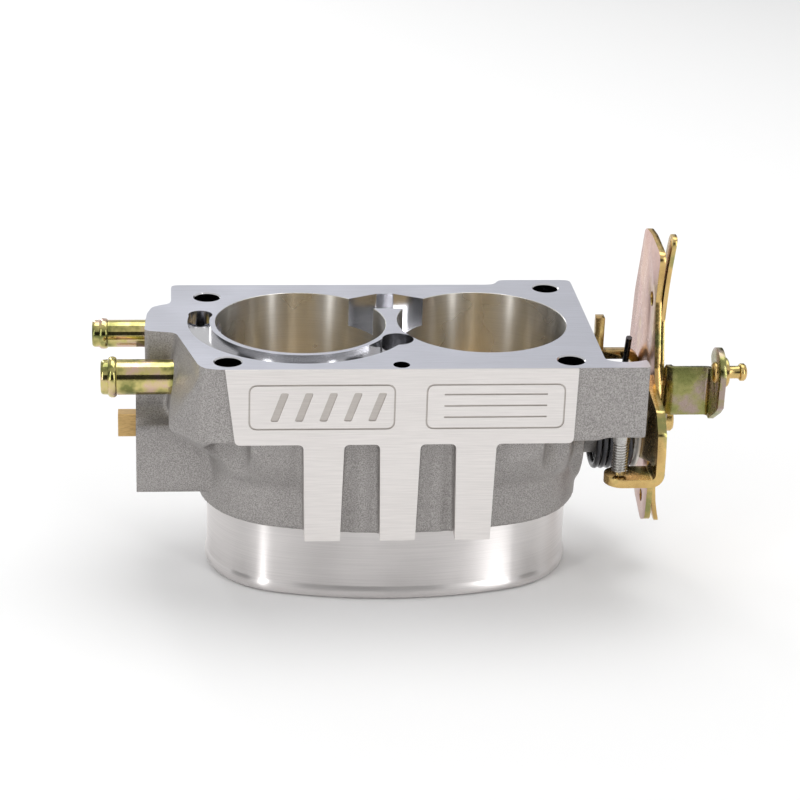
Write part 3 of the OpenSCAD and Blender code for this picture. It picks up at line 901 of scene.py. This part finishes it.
    def machined_stock(self) -> list[bpy.types.Object]:
        """Make what stands crisp on the casting: collar, front pad and ribs."""
        at = self.at
        rise = self.bead_h
        rings = [(-0.7, 0.0), (0.1, 0.45), (0.6, 1.1), (self.bead_out, 2.0), (self.bead_out, rise - 1.9),
                 (0.55, rise - 1.0), (0.15, rise - 0.3), (0.0, rise + 0.2), (0.0, self.collar_h + 1)]
        collar = Bench.loft("collar", [(self.oval(self.collar_wall + out), z) for out, z in rings], Axis.Z)
        dress(collar, self.finish.turned)
        head = at.top - self.head_h
        stock = [collar]
        wide, slim = (w / 2 for w in self.rib_widths)
        corners = [(-57.6, at.top), (-54.3, head)]
        fillet = self.rib_fillet
        radii = [0.3, fillet]
        for k in (-1, 0, 1):
            x = k * self.rib_pitch
            foot = [(x - slim, self.collar_h), (x + slim, self.collar_h)]
            side = [(x - wide, head + 1), *foot, (x + wide, head + 1)]
            rib = Bench.prism("rib", side, -at.front + 0.5, -at.bore_r - 2, Axis.Y)
            stock.append(dress(rib, self.finish.front))
            corners += [(x - wide, head), *foot, (x + wide, head)]
            radii += [fillet, 0.3, 0.3, fillet]
        corners += [(57.5, head), (58, at.top)]
        radii += [fillet, 0.3]
        sheet = Bench.prism("front_sheet", rounded(corners, radii), -at.front, -at.front + 7, Axis.Y)
        return stock + [dress(sheet, self.finish.front)]

    def bore_tools(self) -> list[bpy.types.Object]:
        """Make the tools that bore the housing through."""
        at = self.at
        top, radius = at.top, at.bore_r
        profile = [(-1, 0), (-1, radius), (top - 0.15, radius), (top + 0.15, radius + 0.3),
                   (top + 2, radius + 0.3), (top + 2, 0)]
        tools = [Bench.turned("bore", profile, (s * at.bore_x, 0), Axis.Z, 160) for s in (-1, 1)]
        tools.append(Bench.prism("inlet", self.oval(self.inlet_step, self.belly), -1, self.inlet_depth, Axis.Z))
        return [dress(tool, self.finish.bore) for tool in tools]

    def face_tools(self) -> list[bpy.types.Object]:
        """Make the tools that mill the manifold face: groove, pockets and bolt holes."""
        at = self.at
        high = at.top + 1
        half = self.groove_w / 2
        path = at.bore_r + 2 + half
        centre = (-at.bore_x, 0.0)
        start, end = self.groove_span
        outer = arc(centre, path + half, start, end, 56)
        inner = arc(centre, path - half, end, start, 56)
        floor = at.top - self.groove_depth
        spot = arc(centre, path, start, start, 1)[0]
        low = at.top - self.pocket_depth
        rim = [(-14.5, 13), (14.5, 13), (14.5, 22), (3, 27.8), (-3, 27.8), (-14.5, 22)]
        x, y, radius = self.front_pocket
        tools = [
            Bench.prism("groove", outer + inner, floor, high, Axis.Z),
            Bench.rod("port", spot, half + 0.4, floor - 24, high, Axis.Z, 64),
            Bench.prism("pocket", rounded(rim, 1.2), low, high, Axis.Z),
            Bench.rod("pocket", (x, y), radius, low, high, Axis.Z, 64),
            *self.rods(at.top - self.bolt_depth, 0),
        ]
        low, high = at.top - 0.4, at.top + 0.4
        profile = [(low, 0), (low, self.bolt_r), (high, self.bolt_r + 0.8), (high, 0)]
        tools += [Bench.turned("chamfer", profile, spot, Axis.Z, 64) for spot in self.bolt_spots]
        # Bolt and locator holes take the near-black drilled finish, which is painted shade in the holes; the
        # other tools are milled.
        return [dress(tool, self.finish.drilled if tool.name.startswith(("bolt", "locator"))
                      else self.finish.milled) for tool in tools]

    def side_tools(self) -> list[bpy.types.Object]:
        """Make the tools for the shaft's line, the sensor recess, the barbs and the stop screw."""
        at = self.at
        fit = self.press_fit
        left, right = at.low["housing"].x, at.high["right_shaft_seal"].x
        recess = left + self.sensor_depth
        bearing_end, bearing_start = at.high["left_shaft_bearing"].x, at.low["right_shaft_bearing"].x
        seat = at.radius("left_shaft_bearing", Axis.Z) + fit
        seal = at.radius("left_shaft_seal", Axis.Z) + fit
        tools = [Bench.rod(name, at.shaft, radius, low, high, Axis.X) for name, radius, low, high in (
            ("shaft_way", self.shaft_way_r, left - 1, right + 1),
            ("recess", self.sensor_r, left - 1, recess),
            ("seal_seat", seal, recess - 1, recess + self.seal_depth),
            ("bearing_seat", seat, recess, bearing_end),
            ("seal_seat", seal, right - self.seal_depth, right + 1),
            ("bearing_seat", seat, bearing_start, right),
        )]
        for side in (-1, 1):
            spot = (0.0, at.shaft_z + side * self.sensor_screws / 2)
            tools.append(Bench.rod("screw_hole", spot, self.sensor_screw_r, left - 1, left + 10, Axis.X, 32))
        for barb in BARBS:
            low, high = at.low[barb.node].x, at.high[barb.node].x
            centre, tube = at.centre(barb.node, Axis.X), at.radius(barb.node) - barb.bead
            end, inner = high + barb.way_depth, tube - barb.wall
            tools.append(Bench.rod("barb_seat", centre, tube + fit, low, high, Axis.X, 64))
            tools.append(Bench.rod("barb_way", centre, inner, low, end, Axis.X, 48))
        screw = at.centre("idle_stop_screw", Axis.Z)
        screw_end = at.high["idle_stop_screw"].z + self.screw_room
        tools.append(Bench.rod("thread", screw, self.screw_hole_r, 60, screw_end, Axis.Z, 48))
        return [dress(tool, self.finish.faced) for tool in tools]

    def engraving(self) -> list[bpy.types.Object]:
        """Make the tools for the two plain borders and the lines inside them on the front pad."""
        at = self.at
        fore, back = -at.front - 1, -at.front + 0.35
        low, high = at.top - 21.0, at.top - 5.0
        line = self.engraved_line
        tools = []
        for left, right in ((-50.0, -2.0), (8.0, 54.0)):
            outer = [(left, low), (right, low), (right, high), (left, high)]
            inner = [(left + line, low + line), (right - line, low + line), (right - line, high - line),
                     (left + line, high - line)]
            border = Bench.prism("border", rounded(outer, 3, 8), fore, back, Axis.Y)
            inside = Bench.prism("inside", rounded(inner, 3 - line, 8), fore - 1, back + 1, Axis.Y)
            tools.append(Bench.combine(border, Blend.CUT, inside))
        for k in range(5):
            x = -43.0 + 8 * k
            slant = [(x, low + 3), (x + 2.6, low + 3), (x + 6.2, high - 3), (x + 3.6, high - 3)]
            tools.append(Bench.prism("bar", rounded(slant, 0.6, 3), fore, back, Axis.Y))
        for k in range(3):
            z = low + 4 + 4 * k
            stroke = [(14, z), (48, z), (48, z + line), (14, z + line)]
            tools.append(Bench.prism("line", rounded(stroke, 0.2, 3), fore, back, Axis.Y))
        return [dress(tool, self.finish.engraved) for tool in tools]

    def build(self) -> None:
        """Cast, machine and enter the housing."""
        at = self.at
        piece = self.casting()
        left = at.low["housing"].x
        skin = -at.front + self.cast_step
        for fore, grow, finish in ((-60, 0, self.finish.faced), (skin, 9, self.finish.cast)):
            plan = [(left - grow, fore), (120, fore), (120, 60), (left - grow, 60)]
            box = Bench.prism("envelope", plan, self.collar_h - grow, at.top + grow, Axis.Z)
            Bench.combine(piece, Blend.KEEP, dress(box, finish))
        Bench.combine(piece, Blend.ADD, *self.machined_stock())
        for tools in (self.bore_tools(), self.face_tools(), self.side_tools(), self.engraving()):
            Bench.combine(piece, Blend.CUT, *tools)
        piece.name = "housing_body"
        piece.data.name = piece.name
        Bench.shade(piece, 32)
        enter(piece, "housing", "housing")


@dataclass
class HoseBarb:
    """Pressed-in hose barb with a rounded bead."""

    at: Layout
    finish: Finishes
    size: BarbSize

    def build(self) -> None:
        """Turn the barb."""
        node, bead = self.size.node, self.size.bead
        tip, end = self.at.low[node].x, self.at.high[node].x
        tube = self.at.radius(node) - bead
        inner = tube - self.size.wall
        crown = [(tip + 3.9 - 1.45 * math.cos(math.radians(t)), tube + bead * math.sin(math.radians(t)))
                 for t in range(0, 181, 15)]
        lip = [(tip + 1.1 - 1.1 * math.cos(math.radians(t)), tube - 0.9 + 0.8 * math.sin(math.radians(t)))
               for t in range(0, 91, 15)]
        profile = [(end, inner), (tip + 0.5, inner), (tip + 0.1, inner + 0.3), *lip, *crown,
                   (tip + 6.2, tube), (end - 0.4, tube), (end, tube - 0.4)]
        piece = Bench.turned(f"{node}_tube", profile, self.at.centre(node, Axis.X), Axis.X, 64)
        Bench.shade(piece)
        enter(dress(piece, self.finish.barb), node, "housing")


@dataclass
class ReturnSpring:
    """Torsion spring of round wire with two straight legs."""

    at: Layout
    finish: Finishes
    wire: float = 2.2
    radius: float = 16.0
    turns: float = 5.75
    end: float = 20.0
    fixed_leg: float = 27.0
    free_leg: float = 24.0

    def build(self) -> None:
        """Wind the wire."""
        low, high = self.at.box("return_spring")
        first, last = low.x + self.wire / 2, high.x - self.wire / 2
        start = self.end - 360 * self.turns
        steps = int(40 * self.turns)
        route = []
        for k in range(steps + 1):
            share = k / steps
            angle = math.radians(start + share * (self.end - start))
            route.append(Vector((first + share * (last - first), self.radius * math.cos(angle),
                                 self.at.shaft_z + self.radius * math.sin(angle))))
        fixed = math.radians(start - 90)
        free = math.radians(self.end + 90)
        route.insert(0, route[0] + self.fixed_leg * Vector((0, math.cos(fixed), math.sin(fixed))))
        route.append(route[-1] + self.free_leg * Vector((0, math.cos(free), math.sin(free))))
        Bench.clear()
        bpy.ops.curve.primitive_nurbs_path_add()
        piece = bpy.context.object
        piece.name = "return_spring_wire"
        piece.location = (0, 0, 0)
        curve = piece.data
        curve.splines.clear()
        spline = curve.splines.new("POLY")
        spline.points.add(len(route) - 1)
        for point, spot in zip(spline.points, route):
            point.co = (*(spot * MM), 1.0)
        curve.bevel_depth = self.wire / 2 * MM
        curve.bevel_resolution = 4
        curve.use_fill_caps = True
        Bench.pick(piece)
        bpy.ops.object.convert(target="MESH")
        piece = bpy.context.object
        Bench.tidy(piece)
        Bench.shade(piece, 50)
        enter(dress(piece, self.finish.spring), "return_spring", "throttle")


@dataclass
class StopScrew:
    """Threaded idle stop screw with a plain point."""

    at: Layout
    finish: Finishes
    pitch: float = 1.0
    tooth: float = 0.5
    point: float = 1.2
    relief: float = 0.25
    shank_z: float = 59.2

    def build(self) -> None:
        """Turn the core and wind the thread on it."""
        low, high = self.at.box("idle_stop_screw")
        centre = self.at.centre("idle_stop_screw", Axis.Z)
        outer = self.at.radius("idle_stop_screw", Axis.X)
        crest = outer - self.relief
        core = crest - self.tooth
        profile = [(low.z, 0), (low.z, core - 0.8), (low.z + 0.8, core), (self.shank_z, core),
                   (self.shank_z, outer - 0.3), (self.shank_z + 0.3, outer), (high.z, outer), (high.z, 0)]
        piece = Bench.turned("idle_stop_screw_thread", profile, centre, Axis.Z, 48)
        start = low.z + self.point
        corners = [(core - 0.2, 0.0), (crest, 0.4), (crest, 0.5), (core - 0.2, 0.9)]
        ridge = Bench.ring("thread", [Vector((radius, 0, rise)) * MM for radius, rise in corners], filled=False)
        Bench.modify(ridge, "SCREW", axis="Z", angle=2 * math.pi, screw_offset=self.pitch * MM,
                     iterations=int((self.shank_z - start) / self.pitch), steps=32, render_steps=32)
        with Bench.editing(ridge):
            bpy.ops.mesh.remove_doubles(threshold=0.001 * MM)
            bpy.ops.mesh.fill_holes(sides=4)
            bpy.ops.mesh.normals_make_consistent(inside=False)
            bpy.ops.transform.translate(value=Vector((*centre, start)) * MM)
        Bench.pick(piece)
        ridge.select_set(True)
        bpy.ops.object.join()
        Bench.shade(piece, 50)
        enter(dress(piece, self.finish.bright), "idle_stop_screw", "idle_screw")


@dataclass
class Linkage:
    """Stop lever, quadrant, guide, arm, stud and the screw that clamps them."""

    at: Layout
    finish: Finishes
    lever_t: float = 3.0
    guide_t: float = 1.5
    arm_t: float = 2.0
    foot_drop: float = 4.0
    foot_w: float = 11.6
    strap_y: float = 11.8
    strap_w: float = 4.0
    strap_top: float = 21.0
    finger_x: float = 73.2
    ear_r: float = 8.4
    hole: float = 4.8
    screw_r: float = 2.5
    screw_head_r: float = 4.2
    screw_head_h: float = 4.0
    socket_r: float = 2.3
    socket_depth: float = 2.4
    washer_r: float = 6.0
    sleeve_r: tuple[float, float] = (12.0, 14.5)
    edge: float = 0.35

    def raised(self, points: list[Point]) -> list[Point]:
        """Lift an outline given as y and z from the shaft into the frame."""
        return [(y, z + self.at.shaft_z) for y, z in points]

    def drilled(self, piece: bpy.types.Object, spots: list[tuple[Point, float]], low: float,
                high: float) -> bpy.types.Object:
        """Drill a plate across X.

        Args:
            piece: The plate.
            spots: Centre of each hole from the shaft, and its radius.
            low: Start of the holes along X.
            high: End of the holes along X.

        Returns:
            The plate.
        """
        for spot, radius in spots:
            tool = Bench.rod("drill", self.raised([spot])[0], radius, low - 2, high + 2, Axis.X, 48)
            Bench.combine(piece, Blend.CUT, tool)
        return piece

    def stop_lever(self) -> None:
        """Make the stop lever: web, foot under the stop screw, strap and finger for the spring."""
        low, high = self.at.box("stop_lever")
        t = self.lever_t
        x1 = high.x
        x0 = x1 - t
        bend = t + 1.6
        foot_top = -self.foot_drop
        front, back = low.y, low.y + self.foot_w
        web = self.raised(rounded([
            (-10, 21), (-22, 20), (-36, 18), (front + 1, 12), (front, 5), (front, foot_top - t + bend),
            (back, foot_top - t + bend), (-24, -5), (-11, -9.5), (0, -13), (11, -7), (13, 1),
            (self.strap_y + self.strap_w, self.strap_top - bend), (self.strap_y, self.strap_top - bend),
            (9, 12), (0, 15)], [3.0] * 5 + [0, 0] + [3.0] * 5 + [0, 0] + [3.0] * 2))
        piece = Bench.prism("stop_lever_sheet", web, x0, x1, Axis.X)
        foot_z = self.at.shaft_z + foot_top
        heel_z = foot_z - t + bend
        corner, inside = fold((x1 - bend, heel_z), bend, t, -90, 0)
        end = low.x
        strip = [(end, foot_z), (end, foot_z - t), *corner, (x1, heel_z + 0.2), (x0, heel_z + 0.2), *inside]
        foot = Bench.prism("foot", strip, front, back, Axis.Y)
        half = self.foot_w / 2
        plan = [*arc((end + half, front + half), half, 90, 270, 20), (x1 + 1, front), (x1 + 1, back)]
        Bench.combine(foot, Blend.KEEP, Bench.prism("plan", plan, foot_z - t - 1, foot_z + bend + 4, Axis.Z))
        Bench.combine(piece, Blend.ADD, foot, self.strap(x1, bend))
        self.drilled(piece, [((0, 0), self.hole)], x0, x1)
        Bench.soften(piece, self.edge)
        enter(dress(piece, self.finish.lever), "stop_lever", "throttle")

    def strap(self, face: float, bend: float) -> bpy.types.Object:
        """Make the stop lever's strap with its upturned finger.

        Args:
            face: Outer face of the lever.
            bend: Outer radius of the bends.

        Returns:
            The strap.
        """
        t = self.lever_t
        z = self.at.shaft_z + self.strap_top
        left = self.finger_x
        top = self.at.high["stop_lever"].z
        small = 1.2
        outer, root = fold((face - bend, z - bend), bend, t, 0, 90)
        rise = arc((left + t + small, z + small), small, 270, 180, 6)
        heel = arc((left + bend, z - t + bend), bend, 180, 270, 8)
        side = [*outer, *rise, (left + t, top), (left, top), *heel, *root]
        return Bench.prism("strap", side, self.strap_y, self.strap_y + self.strap_w, Axis.Y)

    def quadrant(self) -> None:
        """Make the cable quadrant, a plate with a creased rear edge; its rim is coloured as a painted highlight
        and its bent band as painted shade.
        """
        low, high = self.at.box("cable_quadrant")
        tall = high.z - self.at.shaft_z
        outline = [(-11, tall - 2.6), (-8, tall - 20), (-14, tall - 42), (-19, 17), (-16, 5), (-12, -6),
                   (-17, -18), (-16, -31), (-9, -34.5), (4, -30), (16, -8), (28, 8), (28, 18), (23, 40),
                   (17, 56), (13, tall)]
        piece = Bench.prism("cable_quadrant_plate", self.raised(rounded(outline, 4)), low.x, high.x, Axis.X)
        self.drilled(piece, [((0, 0), self.hole), ((-1.5, 45.5), 2.6), ((-7, -26), 2.2)], low.x, high.x)
        start = Vector((0, 7.0, self.at.shaft_z + 61.4))
        along = Vector((0, 13.0, -41.0)).normalized()
        across = Vector((0, -along.z, along.y))
        Bench.slice(piece, start * MM, across)
        for vertex in piece.data.vertices:
            behind = (vertex.co / MM - start).dot(across)
            if behind > 0 and vertex.co.z / MM > self.at.shaft_z:
                vertex.co.x -= 0.13 * behind * MM
        Bench.soften(piece, self.edge)
        dress(piece, self.finish.quadrant)
        # The edge faces get the gold lever chromate: a painted highlight on the plate's rim.
        piece.data.materials.append(self.finish.lever)
        # The bent rear band gets the pinker chromate: painted shade.
        piece.data.materials.append(self.finish.bent_band_shade)
        # Faces not square to X take index 1, a painted highlight; faces of the bent band take index 2, painted
        # shade.
        for face in piece.data.polygons:
            painted_shade_index = 2 if abs(face.normal.y) > 0.05 else 0
            face.material_index = 1 if abs(face.normal.x) < 0.9 else painted_shade_index
        enter(piece, "cable_quadrant", "throttle")

    def guide(self) -> None:
        """Make the cable guide: a narrow plate whose two ends curve outwards."""
        low, high = self.at.box("cable_guide")
        tall, deep = high.z - self.at.shaft_z, low.z - self.at.shaft_z
        outline = [(-8, tall), (-8.5, 40), (-15, 20), (-11, 3), (-13, -10), (-14, -22), (-13, deep + 2),
                   (-9, deep), (-4, deep + 2), (-2, -22), (6, -8), (10, 6), (4, 20), (1, 40), (-1, tall)]
        thick = self.guide_t
        piece = Bench.prism("cable_guide_plate", self.raised(rounded(outline, 3)), low.x, low.x + thick, Axis.X)
        self.drilled(piece, [((0, 0), self.hole)], low.x, high.x)
        for k in range(1, 22):
            spot = Vector((0, 0, low.z + (high.z - low.z) * k / 22)) * MM
            Bench.slice(piece, spot, Vector((0, 0, 1)))
        flare = high.x - low.x - thick
        for vertex in piece.data.vertices:
            rise = vertex.co.z / MM - self.at.shaft_z
            share = (rise - 30) / (tall - 30) if rise > 0 else (-rise - 18) / (-deep - 18)
            if share > 0:
                vertex.co.x += flare * share ** 2 * MM
        Bench.soften(piece, self.edge)
        enter(dress(piece, self.finish.lever), "cable_guide", "throttle")

    def arm(self) -> None:
        """Make the arm: hub plate, bridge outwards and an ear turned forwards."""
        low, high = self.at.box("cruise_arm")
        t = self.arm_t
        x0, ear = low.x, high.x - t
        stud_y, stud_z = self.at.centre("cruise_stud", Axis.X)
        stud = (stud_y, stud_z - self.at.shaft_z)
        front, z0, z1 = -19.0, 9.6, 26.8
        bend = t + 1.2
        hub = [*arc((0, 0), 11, -150, 60, 26), (front + bend, z1), (front + bend, z0)]
        piece = Bench.prism("cruise_arm_sheet", self.raised(hub), x0, x0 + t, Axis.X)
        near, near_in = fold((x0 + bend, front + bend), bend, t, 180, 270)
        far_out, far = fold((ear + t - bend, front - bend + t), bend, t, 0, 90)
        bridge = [(x0, front + bend + 0.2), *near, *far, (ear, front - bend - 0.2),
                  (ear + t, front - bend - 0.2), *far_out, *near_in, (x0 + t, front + bend + 0.2)]
        low_z, high_z = self.at.shaft_z + z0, self.at.shaft_z + z1
        lobe = arc(stud, self.ear_r, 20, 195, 24)
        rim = [(front - bend, z0), (front - bend, z1), *lobe, (stud_y - self.ear_r + 0.6, z0 + 9),
               (stud_y - self.ear_r + 4, z0 + 6)]
        Bench.combine(piece, Blend.ADD, Bench.prism("bridge", bridge, low_z, high_z, Axis.Z),
                      Bench.prism("ear", self.raised(rim), ear, ear + t, Axis.X))
        self.drilled(piece, [((0, 0), self.hole)], x0, x0 + t)
        self.drilled(piece, [(stud, self.screw_r)], ear, ear + t)
        Bench.soften(piece, self.edge)
        enter(dress(piece, self.finish.arm), "cruise_arm", "throttle")

    def spun(self, node: str, suffix: str, profile: list[Point], finish: bpy.types.Material,
             centre: Point | None = None, sides: int = 64, smooth: float = 35,
             cuts: tuple[bpy.types.Object, ...] = ()) -> None:
        """Turn a piece and enter it.

        Args:
            node: CAD node that it stands for.
            suffix: End of its name.
            profile: Corners as (place along X, radius).
            finish: Its material.
            centre: Place of its axis in y and z; the shaft's when left out.
            sides: Number of steps round.
            smooth: Largest angle in degrees that is shaded smooth.
            cuts: Solids that are cut away from it.
        """
        piece = Bench.turned(f"{node}_{suffix}", profile, centre or self.at.shaft, Axis.X, sides)
        Bench.combine(piece, Blend.CUT, *cuts)
        Bench.shade(piece, smooth)
        enter(dress(piece, finish), node, "throttle")

    def stud(self) -> None:
        """Turn the riveted stud with its grooved head."""
        low, high = self.at.box("cruise_stud")
        x, end = low.x + 1.2, high.x
        collar = x + self.arm_t
        profile = [(x - 1.2, 0), (x - 1.2, 2.6), (x - 0.8, 3.3), (x - 0.3, 3.6), (x, 3.6), (x, 2.5),
                   (collar, 2.5), (collar, 4.8), (collar + 0.3, 5), (collar + 1.6, 5), (collar + 2, 4.6),
                   (collar + 2, 2.3), (collar + 2.5, 2.15), (end - 3.1, 2.15), (end - 2.6, 2.3),
                   (end - 2.3, 2.8), (end - 1.9, 3), (end - 0.9, 3), (end - 0.3, 2.5), (end, 1.8), (end, 0)]
        self.spun("cruise_stud", "pin", profile, self.finish.lever, self.at.centre("cruise_stud", Axis.X),
                  48, 40)

    def clamp(self) -> None:
        """Turn the bushing, the washer and the screw that holds the levers on the shaft."""
        low, high = (corner.x for corner in self.at.box("lever_screw"))
        head = high - self.screw_head_h
        shank, rim = self.screw_r, self.screw_head_r
        floor = high - self.socket_depth
        socket = Bench.rod("socket", self.at.shaft, self.socket_r, floor, high + 1, Axis.X, 6)
        self.spun("lever_screw", "turned", [
            (low, 0), (low, shank - 0.4), (low + 0.4, shank), (head, shank), (head, rim - 0.2),
            (head + 0.2, rim), (high - 0.7, rim), (high, rim - 0.6), (high, 0)],
            self.finish.lever, cuts=(socket,))
        low, high = (corner.x for corner in self.at.box("lever_washer"))
        rim = self.washer_r
        self.spun("lever_washer", "ring", [
            (low, 2.7), (high, 2.7), (high, rim - 0.2), (high - 0.2, rim), (low + 0.2, rim),
            (low, rim - 0.2)], self.finish.bright)
        low, high = (corner.x for corner in self.at.box("spring_bushing"))
        rim = self.at.high["spring_bushing"].z - self.at.shaft_z
        bore, sleeve = self.sleeve_r
        disc = high - 1
        self.spun("spring_bushing", "sleeve", [
            (high, 4.85), (high, rim - 0.3), (high - 0.3, rim), (high - 0.9, rim), (disc, rim - 0.2),
            (disc, sleeve), (low + 0.4, sleeve), (low, sleeve - 0.4), (low, bore), (disc, bore),
            (disc, 4.85)], self.finish.nylon, sides=96)

    def build(self) -> None:
        """Make every piece of the linkage."""
        self.stop_lever()
        self.quadrant()
        self.guide()
        self.arm()
        self.stud()
        self.clamp()


@dataclass
class CarriedNodes:
    """CAD nodes whose shape stays, with their finishes."""

    finish: Finishes
    rounding: float = 0.18

    def build(self) -> None:
        """Dress the nodes and break their edges."""
        finish = self.finish
        dresses = {
            "left_shaft_bearing": finish.bearing, "right_shaft_bearing": finish.bearing,
            "left_shaft_seal": finish.rubber, "right_shaft_seal": finish.rubber,
            "throttle_shaft": finish.shaft, "left_throttle_plate": finish.plate,
            "right_throttle_plate": finish.plate, "left_plate_screws": finish.bright,
            "right_plate_screws": finish.bright, "shaft_retaining_ring": finish.spring,
        }
        for name, material in dresses.items():
            node = frame["nodes"][name]
            dress(node, material)
            Bench.modify(node, "WELD", apply=False, merge_threshold=0.002 * MM)
            Bench.modify(node, "BEVEL", apply=False, width=self.rounding * MM, segments=2,
                         limit_method="ANGLE", angle_limit=math.radians(40), use_clamp_overlap=True)
            LOG.info("%s keeps its CAD shape", name)


@dataclass
class Studio:
    """Pale floor, soft light and the camera."""

    camera_at: Place = (-73.2, -764.9, 376.2)
    turn: float = -5.75
    tilt: float = 22.46
    roll: float = 1.85
    lens: float = 108.05
    floor_half: float = 3.0
    floor_drop: float = 0.4
    flag_r: float = 1300.0
    flag_z: tuple[float, float] = (150.0, 900.0)

    def floor(self) -> None:
        """Lay the floor."""
        Bench.clear()
        level = -self.floor_drop * MM
        bpy.ops.mesh.primitive_plane_add(size=2 * self.floor_half, location=(0, 0, level))
        floor = bpy.context.object
        floor.name = "studio_floor"
        shader = Shader("studio_paper")
        shader.constant(Base_Color=(0.93, 0.93, 0.93), Roughness=0.9)
        dress(floor, shader.material)

    def softbox(self, name: str, at: Place, size: Point, power: float) -> None:
        """Hang a soft light that faces the object.

        Args:
            name: Name of the light.
            at: Place in metres.
            size: Width and height of the light in metres.
            power: Power in watts.
        """
        Bench.clear()
        bpy.ops.object.light_add(type="AREA", location=at)
        light = bpy.context.object
        light.name = name
        light.data.shape = "RECTANGLE"
        light.data.size, light.data.size_y = size
        light.data.energy = power
        aim = Vector((0, 0, 0.04)) - Vector(at)
        light.rotation_euler = aim.to_track_quat("-Z", "Y").to_euler()

    def flag(self, name: str, bearing: float, width: float) -> None:
        """Hang a dark screen that gives the bright metal something to mirror.

        Args:
            name: Name of the screen.
            bearing: Direction from the object in degrees, from +X towards +Y.
            width: Width of the screen in degrees.
        """
        half = width / 2
        near = [arc((0, 0), self.flag_r, b, b, 1)[0] for b in (bearing - half, bearing + half)]
        far = [arc((0, 0), self.flag_r + 10, b, b, 1)[0] for b in (bearing + half, bearing - half)]
        screen = Bench.prism(name, near + far, *self.flag_z, Axis.Z)
        shader = Shader(f"{name}_cloth")
        shader.constant(Base_Color=(0.03, 0.03, 0.03), Roughness=0.9)
        dress(screen, shader.material)

    def lights(self) -> None:
        """Set the room's light, the soft lights and the dark screens."""
        world = bpy.data.worlds.new("studio_room")
        bpy.context.scene.world = world
        world.use_nodes = True
        background = world.node_tree.nodes["Background"]
        background.inputs["Color"].default_value = (1.0, 1.0, 1.0, 1.0)
        background.inputs["Strength"].default_value = 0.72
        self.softbox("top_light", (0.1, 0.25, 1.1), (1.0, 0.7), 5.0)
        self.softbox("left_strip", (-0.75, -0.75, 0.5), (0.14, 0.9), 2.6)
        self.softbox("right_strip", (0.62, -0.85, 0.45), (0.12, 0.9), 2.2)
        self.softbox("rear_strip", (-0.35, 1.0, 0.5), (0.14, 0.8), 1.6)
        for name, bearing, width in (("front_flag", 268.0, 44.0), ("left_flag", 196.0, 26.0),
                                     ("right_flag", 338.0, 26.0), ("rear_flag", 62.0, 20.0)):
            self.flag(name, bearing, width)

    def camera(self) -> None:
        """Place the camera."""
        turn, tilt, roll = (math.radians(a) for a in (self.turn, self.tilt, self.roll))
        back = Vector((math.sin(turn) * math.cos(tilt), -math.cos(turn) * math.cos(tilt), math.sin(tilt)))
        right = Vector((math.cos(turn), math.sin(turn), 0))
        up = back.cross(right)
        across = math.cos(roll) * right + math.sin(roll) * up
        upright = -math.sin(roll) * right + math.cos(roll) * up
        Bench.clear()
        bpy.ops.object.camera_add()
        camera = bpy.context.object
        camera.name = "studio_camera"
        basis = Matrix((across, upright, back)).transposed().to_4x4()
        basis.translation = Vector(self.camera_at) * MM
        camera.matrix_world = basis
        camera.data.lens = self.lens
        camera.data.sensor_width = 36.0
        camera.data.clip_start = 0.05
        camera.data.clip_end = 20.0
        bpy.context.scene.camera = camera

    def build(self) -> None:
        """Set up the studio."""
        self.floor()
        self.lights()
        self.camera()
        bpy.context.scene.view_settings.view_transform = "Standard"


def main() -> None:
    """Build every piece of the object and its studio."""
    logging.basicConfig(level=logging.INFO, format="%(name)s %(message)s")
    layout = Layout()
    finishes = Finishes()
    Housing(layout, finishes).build()
    for size in BARBS:
        HoseBarb(layout, finishes, size).build()
    ReturnSpring(layout, finishes).build()
    StopScrew(layout, finishes).build()
    Linkage(layout, finishes).build()
    CarriedNodes(finishes).build()
    Studio().build()
    Bench.clear()


if __name__ == "__main__":
    main()
